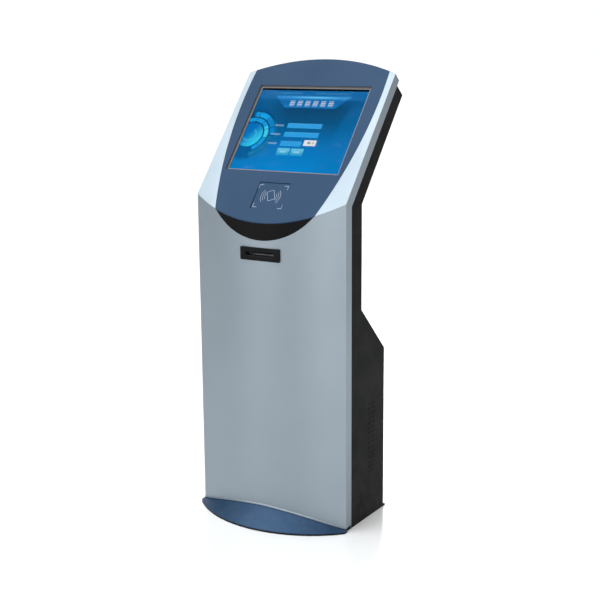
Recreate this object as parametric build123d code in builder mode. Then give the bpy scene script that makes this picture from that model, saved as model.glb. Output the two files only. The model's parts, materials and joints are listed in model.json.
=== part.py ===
from build123d import *
import os
from math import cos, pi, radians, sin, sqrt, tan

os.makedirs("parts", exist_ok=True)

# ---------------------------------------------------------------------------
# Free-standing ticket kiosk. Millimetres, +X right, +Y back, +Z up.
# The origin is on the floor, in the middle of the four floor anchors.
# The front panel bulges forward in plan; the head is a flat plane that leans
# back. The fold where the two meet is highest at the sides.
# ---------------------------------------------------------------------------

# Overall shape
width = 500.0            # front panel, side edge to side edge
front_bow = 52.0         # bulge of the front ahead of its side edges
front_y = -60.0          # side edges of the front panel
fold_z = 954.0           # fold at the side edges
lean = 40.0              # head, degrees from the vertical
head_length = 446.0      # fold to top corner, measured up the head
head_depth = 77.5        # head, front face to back face
head_top_gap = 17.0      # the head box ends this far below the top corners
rear_y = 172.0           # back of the lower cabinet
neck_y = rear_y - 140.0  # back of the neck
shoulder_low = 500.0     # bottom of the sloping shoulder
shoulder_high = 641.0    # top of the sloping shoulder
return_depth = 31.0      # side returns of the silver skin

# Sheet and fits
skin = 1.5               # silver and blue sheet
shell = 1.5              # black cabinet sheet
lap = 0.2                # clearance where one sheet slips inside another
seam = 0.4               # visible joint between flush panels
setback = 2.0            # cabinet edge behind the skin's front face

# Base and toe cover
base_thick = 5.0
base_overhang = 13.0     # base plate behind the cabinet
anchor_x = 170.0
anchor_y = 65.0
anchor_r = 6.5
toe_reach = 70.0         # toe ahead of the middle of the front
toe_edge = 18.0          # toe ahead of the front's side edges
toe_side = 3.0           # toe beyond the front's side edges
toe_corner = 8.0
toe_lip = 12.0           # toe cover behind the front's face
toe_steps = 6
base_edge = 0.6
base_bolt_r = 3.0
base_bolt_head_r = 5.7
base_bolt_head = 4.0
bolt_short = 0.5         # bolt ends above the floor
toe_sheet = 2.0
toe_seat = 0.8           # extra depth that seats the toe's rim on the base
toe_rise = 41.5          # middle of the arch above the toe's rim
arch_power = 1.8         # how the arch falls towards the sides
toe_gap = 1.5            # shadow gap under the front panel
hem_tall = 3.5           # rolled hem along the arch
hem_proud = 1.8

# Head fascia
shield_half = 231.0      # half width of the shield at its widest
shield_wide_u = 370.0    # height of the widest place, up the head
shield_radius = 1373.0   # its bowed sides
crown_bow = 51.5         # rise of the crown above the top corners
crown_lip = 12.0
screen_x = 380.0
screen_u = 307.0
screen_mid_u = 245.2
pocket_x = 104.0
pocket_u = 90.0
pocket_mid_u = 9.5
pocket_deep = 2.0
chin_low_z = fold_z - 113.0    # lowest point of the crescent
chin_radius = 216.5
flange = 8.0             # hidden flange behind a flush panel

# Ticket mouth
slot_z = fold_z - 152.0
bezel_x = 131.0
bezel_z = 37.5
bezel_proud = 3.0
throat_x = 112.0
throat_z = 22.0
throat_long = 16.0
slot_x = 94.0
slot_tall = 9.0
slot_funnel = 3.0        # bevel around the mouth
bezel_corner = 3.0
bezel_edge = 1.2

# Display
surround_wall = 2.0
surround_deep = 8.0
surround_lip = 6.0
glass_thick = 3.0
bond_gap = 0.3           # clear bond between glass and panel
panel_thick = 15.0
chassis_thick = 22.0
display_margin = 7.0     # glass beyond the screen opening
chassis_inset = 13.0
block_corner = 3.0
chassis_vent = (18.0, 3.0)
chassis_vent_pitch = (26.0, 9.0)
bracket_share = 0.8      # bracket's length over the display's
bracket_screw_share = 1 / 2.6
bracket_foot = 11.0
bracket_gap = 5.0        # bracket web beside the display
bracket_lap = 12.0       # bracket behind the chassis
bracket_screw_r = 3.5
bracket_screw_tall = 2.4
stud_r = 2.0
stud_long = 7.0
stud_side_x = 150.0
stud_top_drop = 11.0     # upper studs below the top of the head
stud_mid_u = 70.0
stud_chin_x = 110.0
stud_chin_u = -20.0
nut_r = 4.0
nut_tall = 3.2
reader_thick = 14.0
reader_margin = 4.0
reader_bevel = 2.0
reader_plug = (14.0, 8.0, 3.0)

# Rear door, hinges and lock
sill_top = 65.0
header_low = shoulder_low - 18.0
stile = 20.0
stile_lip = 11.0
door_gap = 1.5
door_rim = 8.0
barrel_r = 4.0
hinge_pin_r = 2.0
pin_head_r = 3.2
pin_head = 1.5
hinge_fit = 0.05
hinge_long = 60.0
hinge_leaf = 14.0
hinge_z = (sill_top + 60.0, header_low - 62.0)
lock_r = 9.5
lock_z = sill_top + 210.0
lock_inset = 27.0        # lock axis from the door's free edge
cam_long = 38.0
cam_wide = 14.0
cam_thick = 2.0
cam_nut_r = 5.5
cam_nut = 3.0
lock_rim = 2.5           # rim of the lock's body, and its wall
plug_proud = 2.0
key_long = 8.0
key_wide = 1.8
key_deep = 9.0
knuckles = 3
knuckle_gap = 0.3
door_vent = (40.0, 4.0)
door_vent_pitch = (50.0, 11.0)
door_vent_inset = 55.0

# Cabinet sheets
vent_rows = 15
vent_columns = 3
vent_pitch = 15.0
vent_r = 2.4
panel_flange = 16.0
panel_step = 9.0         # flange behind the silver returns
screw_r = 2.0
screw_head_r = 4.0
screw_head = 2.2
screw_long = 8.0
screw_taper = 20
screw_cross = (4.0, 0.9, 1.2)
screw_inset = 8.0
cover_vent = (30.0, 3.5)
cover_vent_pitch = (40.0, 10.0)

# Ticket printer
platen_r = 7.0
platen_z = slot_z - platen_r - 1.0
paper_x = 80.0
shaft_r = 3.0
shaft_fit = 0.05
side_plate = 2.0
printer_half = paper_x / 2 + 8.0
printer_front = front_y - front_bow + 18.0
printer_rear = printer_front + 82.0
printer_base_z = slot_z - 42.0
printer_top = slot_z + 30.0
platen_y = printer_front + 34.0
cover_axis_y = printer_rear - 4.0
cover_axis_z = printer_top - 6.0
cover_thick = 2.0
cover_gap = 0.4          # cover above the printer's side plates
cover_back = 3.5         # the cover's plate ends this far ahead of its axis
lug_r = 5.0
lug_long = 16.0
gear_module = 1.0
gear_teeth = 28
pinion_teeth = 12
gear_wide = 5.0
mesh_gap = 0.25
motor_r = 9.5
motor_long = 30.0
motor_shaft_r = 1.5
slot_clear = 6.0         # printer's mouth around the paper
motor_hole_r = 2.5
motor_bore_deep = 8.0
pinion_bore = 1.0
pinion_tail = 7.5        # motor shaft inside the motor
shaft_tail = 3.0
gear_space = 1.0         # gear clear of the side plate
tooth_depth = 1.95       # tooth sizes, in modules
tooth_root = 1.15
tooth_wide = 1.7
tooth_slope = 76.0
tooth_sunk = 0.3
head_wide = 14.0
head_clear = 0.5         # print head above the paper's line
head_fins = 15
head_fin = (2.5, 20.0)
head_fin_pitch = 5.0
head_fin_tall = 12.0
head_spine = 4.0
blade_inset = 4.0
blade_rise = 4.0
blade_tall = 18.0
blade_thick = 1.2
blade_notch = 6.0
counter_thick = 1.5
counter_drop = 2.5
counter_foot = 7.0
blade_over = 8.0         # counter blade wider than the paper

# Paper supply
roll_r = 45.0
roll_y = printer_rear - 28.0
roll_z = printer_base_z - roll_r - 15.0
core_r = 9.0
spindle_r = 6.3
spindle_fit = 0.05
spindle_rim = 4.0
spindle_rim_thick = 3.0
roll_end = 0.5           # roll short of its core at each end
cheek_gap = 5.0
cheek_r = 14.0
bracket_deep = 56.0
paper_gate = (8.0, 16.0)
paper_gate_y = 10.0
shelf_drop = 30.0

# Electronics
shelf_z = 200.0
case_size = (240.0, 180.0, 58.0)
case_mid = (-20.0, rear_y - 122.0)
case_wall = 1.5
button_r = 5.0
button_gap = 0.3
button_proud = 2.0
button_edge = 0.6
button_flange = 1.8
button_flange_thick = 1.5
button_inset = 22.0
case_corner = 4.0
case_vent = (11.0, 3.0)
case_vent_pitch = (14.0, 9.0)
ports = 5
port_size = (15.0, 8.0)
port_pitch = 26.0
port_inset = 30.0
port_drop = 10.0
shelf_front = front_y + 14.0
shelf_rear = rear_y - 20.0
shelf_flange = 22.0
shelf_slot = (30.0, 8.0)
shelf_slot_pitch = (60.0, 40.0)
supply_corner = 3.0
supply_vent = (9.0, 3.0)
supply_vent_pitch = (12.0, 7.0)
supply_size = (150.0, 130.0, 86.0)
supply_mid = (-60.0, rear_y - 112.0)
fan_size = 80.0
fan_thick = 25.0
fan_corner = 5.0
fan_rim = 2.5
fan_hole_pitch = 71.5
fan_hole_r = 2.2
fan_spoke = 4.0
fan_hub_thick = 3.0
fan_shaft_r = 1.5
fan_tip = 1.5            # blade tips inside the bore
fan_blade = (17.0, 1.4, 0.6)
fan_root = 2.0           # blades sunk in the hub
fan_space = 1.0
fan_screw_head_r = 3.4
fan_y = rear_y - fan_size
fan_z = shelf_z + 45.0
inlet_x = -120.0
switch_x = -70.0
gland_x = 120.0
service_z = 36.0         # height of the inlet, switch and gland
rocker_tilt = 8.0
inlet_rim = (8.0, 6.0)
inlet_rim_r = 3.0
inlet_rim_thick = 2.0
inlet_deep = 18.0
socket_size = (24.0, 16.5, 2.5)
socket_deep = 16.0
socket_pin = (2.0, 4.0, 12.0)
socket_pin_x = 7.0
socket_pin_z = 2.0
switch_rim = 4.0
switch_rim_r = 2.0
switch_deep = 16.0
rocker_room = (1.0, 4.0)
rocker_heel = 4.0
rocker_top = 5.5
rocker_dip = 3.5
gland_rim = 4.0
gland_nut = 6.0
gland_cap = 1.0
gland_taper = 12
gland_thread = 14.0
gland_lock_nut = 4.0
gland_wall = 4.5

# Derived places
half = width / 2
front_radius = (half**2 + front_bow**2) / (2 * front_bow)
front_centre_y = front_y - front_bow + front_radius
front_mid_y = front_y - front_bow
toe_depth = front_bow + toe_reach - toe_edge
toe_radius = (half**2 + toe_depth**2) / (2 * toe_depth)
toe_centre_y = front_mid_y - toe_reach + toe_radius
rim_z = base_thick + toe_sheet
crown_radius = (half**2 + crown_bow**2) / (2 * crown_bow)
crown_centre_u = head_length + crown_bow - crown_radius
head_top_u = head_length - head_top_gap
lean_sin = sin(radians(lean))
lean_cos = cos(radians(lean))
side_out = half - skin - lap
side_in = side_out - shell
wrap_half = side_in - lap
stile_in = side_out - stile
base_rear = rear_y + base_overhang
TALL = 3000.0            # longer than anything that it cuts

head_plane = Plane(origin=(0, front_y, fold_z), x_dir=(1, 0, 0), z_dir=(0, -lean_cos, lean_sin))
mitre_plane = Plane(
    origin=(0, front_y, fold_z),
    x_dir=(1, 0, 0),
    z_dir=(0, sin(radians(lean / 2)), cos(radians(lean / 2))),
)


def on_head(u, n):
    """(y, z) of a point u up the head and n out of its face."""
    return (front_y + u * lean_sin - n * lean_cos, fold_z + u * lean_cos + n * lean_sin)


def at_fold(depth):
    """(y, z) on the mitre line, a given depth behind both faces."""
    return (front_y + depth, fold_z - depth * tan(radians(lean / 2)))


def front_line(x):
    """y of the bowed front at x."""
    return front_centre_y - sqrt(front_radius**2 - min(abs(x), half) ** 2)


def toe_line(x):
    """y of the toe's outline at x."""
    return toe_centre_y - sqrt(toe_radius**2 - x**2)


def save(piece, name):
    piece.part.label = name
    export_step(piece.part, f"parts/{name}.step")


# ---------------------------------------------------------------------------
# Shared outlines
# ---------------------------------------------------------------------------
def front_plan(inset):
    """Plan of the front: bowed face and the depth of its returns."""
    with BuildSketch() as plan:
        with Locations((0, front_centre_y)):
            Circle(front_radius - inset)
        with Locations((0, front_y + return_depth)):
            Rectangle(width - 2 * inset, front_bow + return_depth,
                      align=(Align.CENTER, Align.MAX), mode=Mode.INTERSECT)
    return plan.sketch


def front_disc(inset):
    """Everything behind the bowed front."""
    with BuildSketch() as disc:
        with Locations((0, front_centre_y)):
            Circle(front_radius - inset)
        with Locations((0, front_centre_y)):
            Rectangle(TALL, TALL, align=(Align.CENTER, Align.MAX), mode=Mode.INTERSECT)
        with Locations((0, front_centre_y)):
            Rectangle(width * 2, TALL, align=(Align.CENTER, Align.MIN))
    return disc.sketch


def head_outline(inset, half_wide):
    """Head, flat on its plane: straight sides and a bowed crown."""
    with BuildSketch() as outline:
        with Locations((0, crown_centre_u)):
            Circle(crown_radius - inset)
        with Locations((0, -2 * front_bow)):
            Rectangle(2 * half_wide, TALL, align=(Align.CENTER, Align.MIN), mode=Mode.INTERSECT)
    return outline.sketch


def shield(inset):
    """Shield of the fascia: two bowed sides, open below and above."""
    with BuildSketch() as outline:
        with Locations((shield_half - shield_radius, shield_wide_u)):
            Circle(shield_radius - inset)
        with Locations((shield_radius - shield_half, shield_wide_u)):
            Circle(shield_radius - inset, mode=Mode.INTERSECT)
        with Locations((0, -2 * front_bow)):
            Rectangle(width, TALL, align=(Align.CENTER, Align.MIN), mode=Mode.INTERSECT)
    return outline.sketch


def foot_plan():
    """Plan of the toe: a shallow arc with rounded ends."""
    with BuildSketch() as plan:
        with Locations((0, toe_centre_y)):
            Circle(toe_radius)
        with Locations((0, front_y + toe_side)):
            Rectangle(width + 2 * toe_side, toe_radius, align=(Align.CENTER, Align.MAX), mode=Mode.INTERSECT)
        fillet(plan.vertices().group_by(Axis.Y)[0], radius=toe_corner)
    return plan.sketch


def toe_slice(x, low, high):
    """Upright slice of the toe's slope at x, from low to high above it."""
    back_y = front_line(x)
    back_z = rim_z + toe_rise * (1 - (min(abs(x), half) / half) ** arch_power)
    front = toe_line(x)
    slope = (back_z - rim_z) / (back_y - front)
    reach = toe_lip
    behind = return_depth + setback
    start = (front - reach, rim_z - slope * reach)
    end = (back_y + behind, back_z + slope * behind)
    with BuildSketch(Plane.YZ.offset(x)) as section:
        with BuildLine():
            Polyline(
                (start[0], start[1] + low),
                (end[0], end[1] + low),
                (end[0], end[1] + high),
                (start[0], start[1] + high),
                close=True,
            )
        make_face()
    return section.sketch


def toe_slope(low, high):
    """Solid between two heights above the toe's sloping face."""
    reach = half + toe_side + toe_corner
    with BuildPart() as slope:
        for step in range(-toe_steps, toe_steps + 1):
            add(toe_slice(reach * step / toe_steps, low, high))
        loft()
    return slope.part


def side_outline(inset):
    """Side view of the cabinet."""
    neck_u = (neck_y - front_y - head_depth * lean_cos) / lean_sin
    with BuildSketch() as outline:
        with BuildLine():
            Polyline(
                (front_y + setback, base_thick),
                (rear_y, base_thick),
                (rear_y, shoulder_low),
                (neck_y, shoulder_high),
                on_head(neck_u, -head_depth),
                on_head(head_top_u, -head_depth),
                on_head(head_top_u, -setback),
                at_fold(setback),
                close=True,
            )
        make_face()
        if inset:
            offset(amount=-inset, kind=Kind.INTERSECTION)
    return outline.sketch


def rear_zone(depth):
    """Side view of the part of the cabinet behind its front edge."""
    with BuildSketch() as zone:
        with BuildLine():
            Polyline(
                (front_y + depth, -TALL),
                at_fold(depth),
                on_head(TALL, -depth),
                (TALL, TALL),
                (TALL, -TALL),
                close=True,
            )
        make_face()
    return zone.sketch


def side_ring(outer, inner, depth):
    """Strip that follows the cabinet's back, between two insets."""
    with BuildSketch() as ring:
        add(side_outline(outer))
        add(side_outline(inner), mode=Mode.SUBTRACT)
        add(rear_zone(depth), mode=Mode.INTERSECT)
    return ring.sketch


# ---------------------------------------------------------------------------
# Base and toe
# ---------------------------------------------------------------------------
bolt_y = (front_y + 30.0, (front_y + rear_y) / 2 - 6.0, rear_y - 42.0)
bolt_x = side_in - stile / 2

with BuildPart() as base_plate:
    with BuildSketch():
        add(foot_plan())
        with Locations((0, base_rear)):
            Rectangle(2 * side_out, base_rear - front_y, align=(Align.CENTER, Align.MAX))
    extrude(amount=base_thick)
    with Locations((0, 0, base_thick)):
        with GridLocations(2 * anchor_x, 2 * anchor_y, 2, 2):
            Hole(anchor_r)
    for y in bolt_y:
        with Locations((-bolt_x, y, base_thick), (bolt_x, y, base_thick)):
            Hole(base_bolt_r)
    chamfer(base_plate.faces().sort_by(Axis.Z)[-1].outer_wire().edges(), length=base_edge)
save(base_plate, "base_plate")

with BuildPart() as toe_cover:
    add(toe_slope(-toe_sheet - toe_seat, 0))
    with BuildSketch(Plane.XY.offset(base_thick)):
        add(foot_plan())
    extrude(amount=TALL, mode=Mode.INTERSECT)
    with BuildSketch(Plane.XY.offset(base_thick)):
        add(front_disc(toe_lip))
        with Locations((0, front_y + setback - lap)):
            Rectangle(2 * (side_out + lap), TALL, align=(Align.CENTER, Align.MIN))
    extrude(amount=TALL, mode=Mode.SUBTRACT)
save(toe_cover, "toe_cover")

# ---------------------------------------------------------------------------
# Silver skin
# ---------------------------------------------------------------------------
with BuildPart() as front_hem:
    add(toe_slope(toe_gap, toe_gap + hem_tall))
    with BuildSketch():
        with Locations((0, front_centre_y)):
            Circle(front_radius + hem_proud)
            Circle(front_radius, mode=Mode.SUBTRACT)
        with Locations((0, front_y)):
            Rectangle(width, 2 * front_bow, align=(Align.CENTER, Align.MAX), mode=Mode.INTERSECT)
    extrude(amount=TALL / 10, mode=Mode.INTERSECT)

with BuildPart() as front_panel:
    with BuildSketch():
        add(front_plan(0))
        add(front_plan(skin), mode=Mode.SUBTRACT)
    extrude(amount=fold_z + front_bow)
    split(bisect_by=head_plane.offset(-skin), keep=Keep.BOTTOM)
    split(bisect_by=mitre_plane, keep=Keep.BOTTOM)
    add(toe_slope(-TALL / 10, toe_gap), mode=Mode.SUBTRACT)
    with BuildSketch(Plane.XZ):
        with Locations((0, chin_low_z + chin_radius)):
            Circle(chin_radius)
        with Locations((0, slot_z)):
            Rectangle(throat_x + 2 * seam, throat_z + 2 * seam)
    extrude(amount=TALL, mode=Mode.SUBTRACT)
    add(front_hem.part)
save(front_panel, "front_panel")

with BuildPart() as chin_insert:
    with BuildSketch(Plane.XZ):
        with Locations((0, chin_low_z + chin_radius)):
            Circle(chin_radius - seam)
    extrude(amount=TALL)
    with BuildSketch():
        add(front_disc(0))
        add(front_disc(skin), mode=Mode.SUBTRACT)
    extrude(amount=TALL, mode=Mode.INTERSECT)
    with BuildPart(mode=Mode.PRIVATE) as chin_flange:
        with BuildSketch(Plane.XZ):
            with Locations((0, chin_low_z + chin_radius)):
                Circle(chin_radius + flange)
        extrude(amount=TALL)
        with BuildSketch():
            add(front_disc(skin))
            add(front_disc(2 * skin), mode=Mode.SUBTRACT)
        extrude(amount=TALL, mode=Mode.INTERSECT)
    add(chin_flange.part)
    split(bisect_by=head_plane.offset(-skin), keep=Keep.BOTTOM)
save(chin_insert, "chin_insert")

with BuildPart() as wing_right:
    with BuildSketch(head_plane):
        add(head_outline(0, half))
        add(head_outline(skin, half - skin), mode=Mode.SUBTRACT)
    extrude(amount=-return_depth)
    split(bisect_by=mitre_plane, keep=Keep.TOP)
    with BuildSketch(head_plane):
        add(head_outline(0, half))
    extrude(amount=-skin)
    with BuildSketch(head_plane.offset(seam)):
        add(shield(-seam))
    extrude(amount=-2 * return_depth, mode=Mode.SUBTRACT)
    with BuildSketch():
        add(front_disc(0))
    extrude(amount=TALL, mode=Mode.INTERSECT)
    split(bisect_by=Plane.YZ, keep=Keep.TOP)
save(wing_right, "wing_right")

with BuildPart() as wing_left:
    mirror(wing_right.part, about=Plane.YZ)
save(wing_left, "wing_left")

# ---------------------------------------------------------------------------
# Blue fascia and the frame behind it
# ---------------------------------------------------------------------------
stud_spots = [(x, u) for u in (head_top_u - stud_top_drop, stud_mid_u) for x in (-stud_side_x, 0, stud_side_x)]
stud_spots += [(-stud_chin_x, stud_chin_u), (stud_chin_x, stud_chin_u)]

with BuildPart() as fascia:
    with BuildSketch(head_plane):
        add(head_outline(0, half))
        add(head_outline(skin, half), mode=Mode.SUBTRACT)
        with Locations((0, head_length)):
            Rectangle(width, 4 * crown_bow, mode=Mode.INTERSECT)
        add(shield(0), mode=Mode.INTERSECT)
    extrude(amount=-crown_lip)
    with BuildSketch(head_plane):
        add(head_outline(0, half))
        add(shield(0), mode=Mode.INTERSECT)
    extrude(amount=-skin)
    with BuildSketch(head_plane):
        with Locations((0, pocket_mid_u)):
            Rectangle(pocket_x + 2 * skin, pocket_u + 2 * skin)
    extrude(amount=-pocket_deep - skin)
    with BuildSketch(head_plane):
        with Locations((0, pocket_mid_u)):
            RectangleRounded(pocket_x, pocket_u, 2.0)
    extrude(amount=-pocket_deep, mode=Mode.SUBTRACT)
    with BuildSketch(head_plane):
        with Locations((0, screen_mid_u)):
            Rectangle(screen_x, screen_u)
    extrude(amount=-2 * skin, mode=Mode.SUBTRACT)
    with BuildSketch(head_plane.offset(-skin)):
        with Locations(*stud_spots):
            Circle(stud_r)
    extrude(amount=-stud_long)
    with BuildSketch():
        add(front_disc(0))
    extrude(amount=TALL, mode=Mode.INTERSECT)
save(fascia, "fascia")

with BuildPart() as head_frame:
    with BuildSketch(head_plane.offset(-skin)):
        add(head_outline(skin + lap, wrap_half))
        with Locations((0, screen_mid_u)):
            Rectangle(screen_x + 2 * (surround_wall + lap), screen_u + 2 * (surround_wall + lap),
                      mode=Mode.SUBTRACT)
        with Locations((0, pocket_mid_u)):
            Rectangle(pocket_x + 2 * (skin + lap), pocket_u + 2 * (skin + lap), mode=Mode.SUBTRACT)
        with Locations(*stud_spots):
            Circle(stud_r + lap, mode=Mode.SUBTRACT)
    extrude(amount=-shell)
    with BuildSketch():
        add(front_disc(flange))
    extrude(amount=TALL, mode=Mode.INTERSECT)
save(head_frame, "head_frame")

with BuildPart() as fascia_nuts:
    with BuildSketch(head_plane.offset(-skin - shell)):
        with Locations(*stud_spots):
            RegularPolygon(radius=nut_r, side_count=6)
            Circle(stud_r, mode=Mode.SUBTRACT)
    extrude(amount=-nut_tall)
save(fascia_nuts, "fascia_nuts")

# ---------------------------------------------------------------------------
# Display
# ---------------------------------------------------------------------------
display_x = screen_x + 2 * display_margin
display_u = screen_u + 2 * display_margin
glass_n = -surround_deep
panel_n = glass_n - glass_thick - bond_gap
chassis_n = panel_n - panel_thick

with BuildPart() as screen_surround:
    with BuildSketch(head_plane.offset(-skin)):
        with Locations((0, screen_mid_u)):
            Rectangle(screen_x + 2 * surround_wall, screen_u + 2 * surround_wall)
            Rectangle(screen_x, screen_u, mode=Mode.SUBTRACT)
    extrude(amount=skin - surround_deep)
    with BuildSketch(head_plane.offset(-surround_deep)):
        with Locations((0, screen_mid_u)):
            Rectangle(screen_x + 2 * surround_wall, screen_u + 2 * surround_wall)
            Rectangle(screen_x - 2 * surround_lip, screen_u - 2 * surround_lip, mode=Mode.SUBTRACT)
    extrude(amount=surround_wall)
    with BuildSketch(head_plane.offset(-skin - shell)):
        with Locations((0, screen_mid_u)):
            Rectangle(screen_x + 2 * (surround_wall + flange), screen_u + 2 * (surround_wall + flange))
            Rectangle(screen_x + surround_wall, screen_u + surround_wall, mode=Mode.SUBTRACT)
    extrude(amount=-shell)
save(screen_surround, "screen_surround")


def display_block(n, wide, tall, thick):
    """Block of the display stack, its front face n out of the head's plane."""
    with BuildPart() as block:
        with BuildSketch(head_plane.offset(n)):
            with Locations((0, screen_mid_u)):
                RectangleRounded(wide, tall, block_corner)
        extrude(amount=-thick)
    return block


touch_glass = display_block(glass_n, display_x, display_u, glass_thick)
save(touch_glass, "touch_glass")

lcd_panel = display_block(panel_n, display_x, display_u, panel_thick)
save(lcd_panel, "lcd_panel")

chassis_x = display_x - 2 * chassis_inset
chassis_u = display_u - 2 * chassis_inset
with BuildPart() as display_chassis:
    add(display_block(chassis_n, chassis_x, chassis_u, chassis_thick).part)
    with BuildSketch(head_plane.offset(chassis_n)):
        with Locations((0, screen_mid_u)):
            Rectangle(chassis_x - 2 * shell, chassis_u - 2 * shell)
    extrude(amount=shell - chassis_thick, mode=Mode.SUBTRACT)
    with BuildSketch(head_plane.offset(chassis_n - chassis_thick)):
        with Locations((0, screen_mid_u)):
            with GridLocations(*chassis_vent_pitch, 11, 13):
                SlotOverall(*chassis_vent)
    extrude(amount=2 * shell, mode=Mode.SUBTRACT)
save(display_chassis, "display_chassis")

bracket_web = display_x / 2 + bracket_gap
bracket_long = display_u * bracket_share
bracket_rear = chassis_n - chassis_thick - shell


def display_bracket(side):
    """Z bracket that holds the display chassis to the head frame."""
    with BuildPart() as bracket:
        with BuildSketch(head_plane.offset(-skin - shell)):
            with Locations((side * (bracket_web + bracket_foot / 2), screen_mid_u)):
                Rectangle(bracket_foot, bracket_long)
        extrude(amount=-shell)
        with BuildSketch(head_plane.offset(-skin - shell)):
            with Locations((side * (bracket_web + shell / 2), screen_mid_u)):
                Rectangle(shell, bracket_long)
        extrude(amount=bracket_rear + skin + shell)
        reach = bracket_web + shell - chassis_x / 2 + bracket_lap
        with BuildSketch(head_plane.offset(bracket_rear)):
            with Locations((side * (bracket_web + shell - reach / 2), screen_mid_u)):
                Rectangle(reach, bracket_long)
        extrude(amount=shell)
    return bracket


for side, name in ((-1, "display_bracket_left"), (1, "display_bracket_right")):
    save(display_bracket(side), name)

with BuildPart() as bracket_screws:
    spots = [
        (side * (bracket_web + bracket_foot / 2 + shell), screen_mid_u + up * bracket_long * bracket_screw_share)
        for side in (-1, 1) for up in (-1, 1)
    ]
    with BuildSketch(head_plane.offset(-skin - 2 * shell)):
        with Locations(*spots):
            Circle(bracket_screw_r)
    extrude(amount=-bracket_screw_tall)
save(bracket_screws, "bracket_screws")

with BuildPart() as card_reader:
    with BuildSketch(head_plane.offset(-pocket_deep - skin)):
        with Locations((0, pocket_mid_u)):
            RectangleRounded(pocket_x - 2 * reader_margin, pocket_u - 2 * reader_margin, reader_margin)
    extrude(amount=-reader_thick)
    edges_behind = card_reader.faces().sort_by(Axis((0, 0, 0), head_plane.z_dir))[0].edges()
    chamfer(edges_behind, length=reader_bevel)
    plug_x, plug_u, plug_deep = reader_plug
    with BuildSketch(head_plane.offset(-pocket_deep - skin - reader_thick)):
        with Locations((0, pocket_mid_u - pocket_u / 2 + reader_margin + plug_u)):
            Rectangle(plug_x, plug_u)
    extrude(amount=plug_deep, mode=Mode.SUBTRACT)
save(card_reader, "card_reader")

# ---------------------------------------------------------------------------
# Black cabinet
# ---------------------------------------------------------------------------
screw_x = side_in - screw_inset


def back_plane(y, z, normal):
    """Plane on the back of the cabinet, X across, facing out."""
    return Plane(origin=(0, y, z), x_dir=(-1, 0, 0), z_dir=normal)


neck_screw_z = [shoulder_high + 49.0 + 90.0 * step for step in range(3)]
head_screw_u = (150.0, 270.0, 390.0)
screw_planes = [back_plane(neck_y, z, (0, 1, 0)) for z in neck_screw_z]
for u in head_screw_u:
    spot_y, spot_z = on_head(u, -head_depth)
    screw_planes.append(back_plane(spot_y, spot_z, (0, lean_cos, -lean_sin)))
shoulder_rise = shoulder_high - shoulder_low
shoulder_run = rear_y - neck_y
shoulder_long = sqrt(shoulder_rise**2 + shoulder_run**2)
screw_planes.append(
    back_plane(
        (rear_y + neck_y) / 2,
        (shoulder_low + shoulder_high) / 2,
        (0, shoulder_rise / shoulder_long, shoulder_run / shoulder_long),
    )
)

with BuildPart() as side_panel_right:
    with BuildSketch(Plane.YZ.offset(side_in)):
        add(side_outline(0))
        with Locations((fan_y, fan_z)):
            with GridLocations(vent_pitch, vent_pitch, vent_columns, vent_rows):
                Circle(vent_r, mode=Mode.SUBTRACT)
    extrude(amount=shell)
    with BuildSketch(Plane.YZ.offset(side_in)):
        add(side_ring(shell + lap, 2 * shell + lap, return_depth + panel_step))
        with Locations((0, header_low + setback)):
            Rectangle(TALL, TALL, align=(Align.CENTER, Align.MIN), mode=Mode.INTERSECT)
    extrude(amount=-panel_flange)
    with BuildSketch(Plane.XY.offset(sill_top + lap)):
        with Locations((stile_in, rear_y)):
            Rectangle(stile, shell, align=(Align.MIN, Align.MAX))
            Rectangle(shell, stile_lip, align=(Align.MIN, Align.MAX))
    extrude(amount=header_low - sill_top - 2 * lap)
    with BuildSketch(Plane.XY.offset(base_thick)):
        with Locations((side_out - stile, rear_y - stile_lip)):
            Rectangle(stile, rear_y - stile_lip - front_y - screw_inset, align=(Align.MIN, Align.MAX))
        for y in bolt_y:
            with Locations((bolt_x, y)):
                Circle(base_bolt_r + lap, mode=Mode.SUBTRACT)
    extrude(amount=shell)
    for plane in screw_planes:
        with BuildSketch(plane):
            with Locations((-screw_x, 0)):
                Circle(screw_r)
        extrude(amount=-screw_long - 2 * screw_r, mode=Mode.SUBTRACT)
save(side_panel_right, "side_panel_right")

with BuildPart() as side_panel_left:
    mirror(side_panel_right.part, about=Plane.YZ)
save(side_panel_left, "side_panel_left")

neck_u = (neck_y - front_y - head_depth * lean_cos) / lean_sin
bend_y, bend_z = on_head(neck_u, -head_depth)
bend_plane = Plane(
    origin=(0, bend_y, bend_z),
    x_dir=(1, 0, 0),
    z_dir=(0, sin(radians(lean / 2)), cos(radians(lean / 2))),
)


def wrap(depth):
    """Sheet that follows the cabinet's back, between the side panels."""
    with BuildPart() as sheet:
        with BuildSketch(Plane.YZ):
            add(side_ring(0, shell, depth))
        extrude(amount=wrap_half, both=True)
        for plane in screw_planes:
            with BuildSketch(plane):
                with Locations((-screw_x, 0), (screw_x, 0)):
                    Circle(screw_r + lap)
            extrude(amount=-2 * shell, mode=Mode.SUBTRACT)
    return sheet


with BuildPart() as neck_panel:
    add(wrap(return_depth).part)
    split(bisect_by=bend_plane, keep=Keep.BOTTOM)
    split(bisect_by=Plane.XY.offset(header_low), keep=Keep.TOP)
save(neck_panel, "neck_panel")

with BuildPart() as head_cover:
    add(wrap(setback + shell + lap).part)
    split(bisect_by=bend_plane.offset(lap), keep=Keep.TOP)
    with BuildSketch(back_plane(*on_head(screen_mid_u, -head_depth), (0, lean_cos, -lean_sin))):
        with GridLocations(*cover_vent_pitch, 7, 8):
            SlotOverall(*cover_vent)
    extrude(amount=-2 * shell, mode=Mode.SUBTRACT)
save(head_cover, "head_cover")

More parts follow.
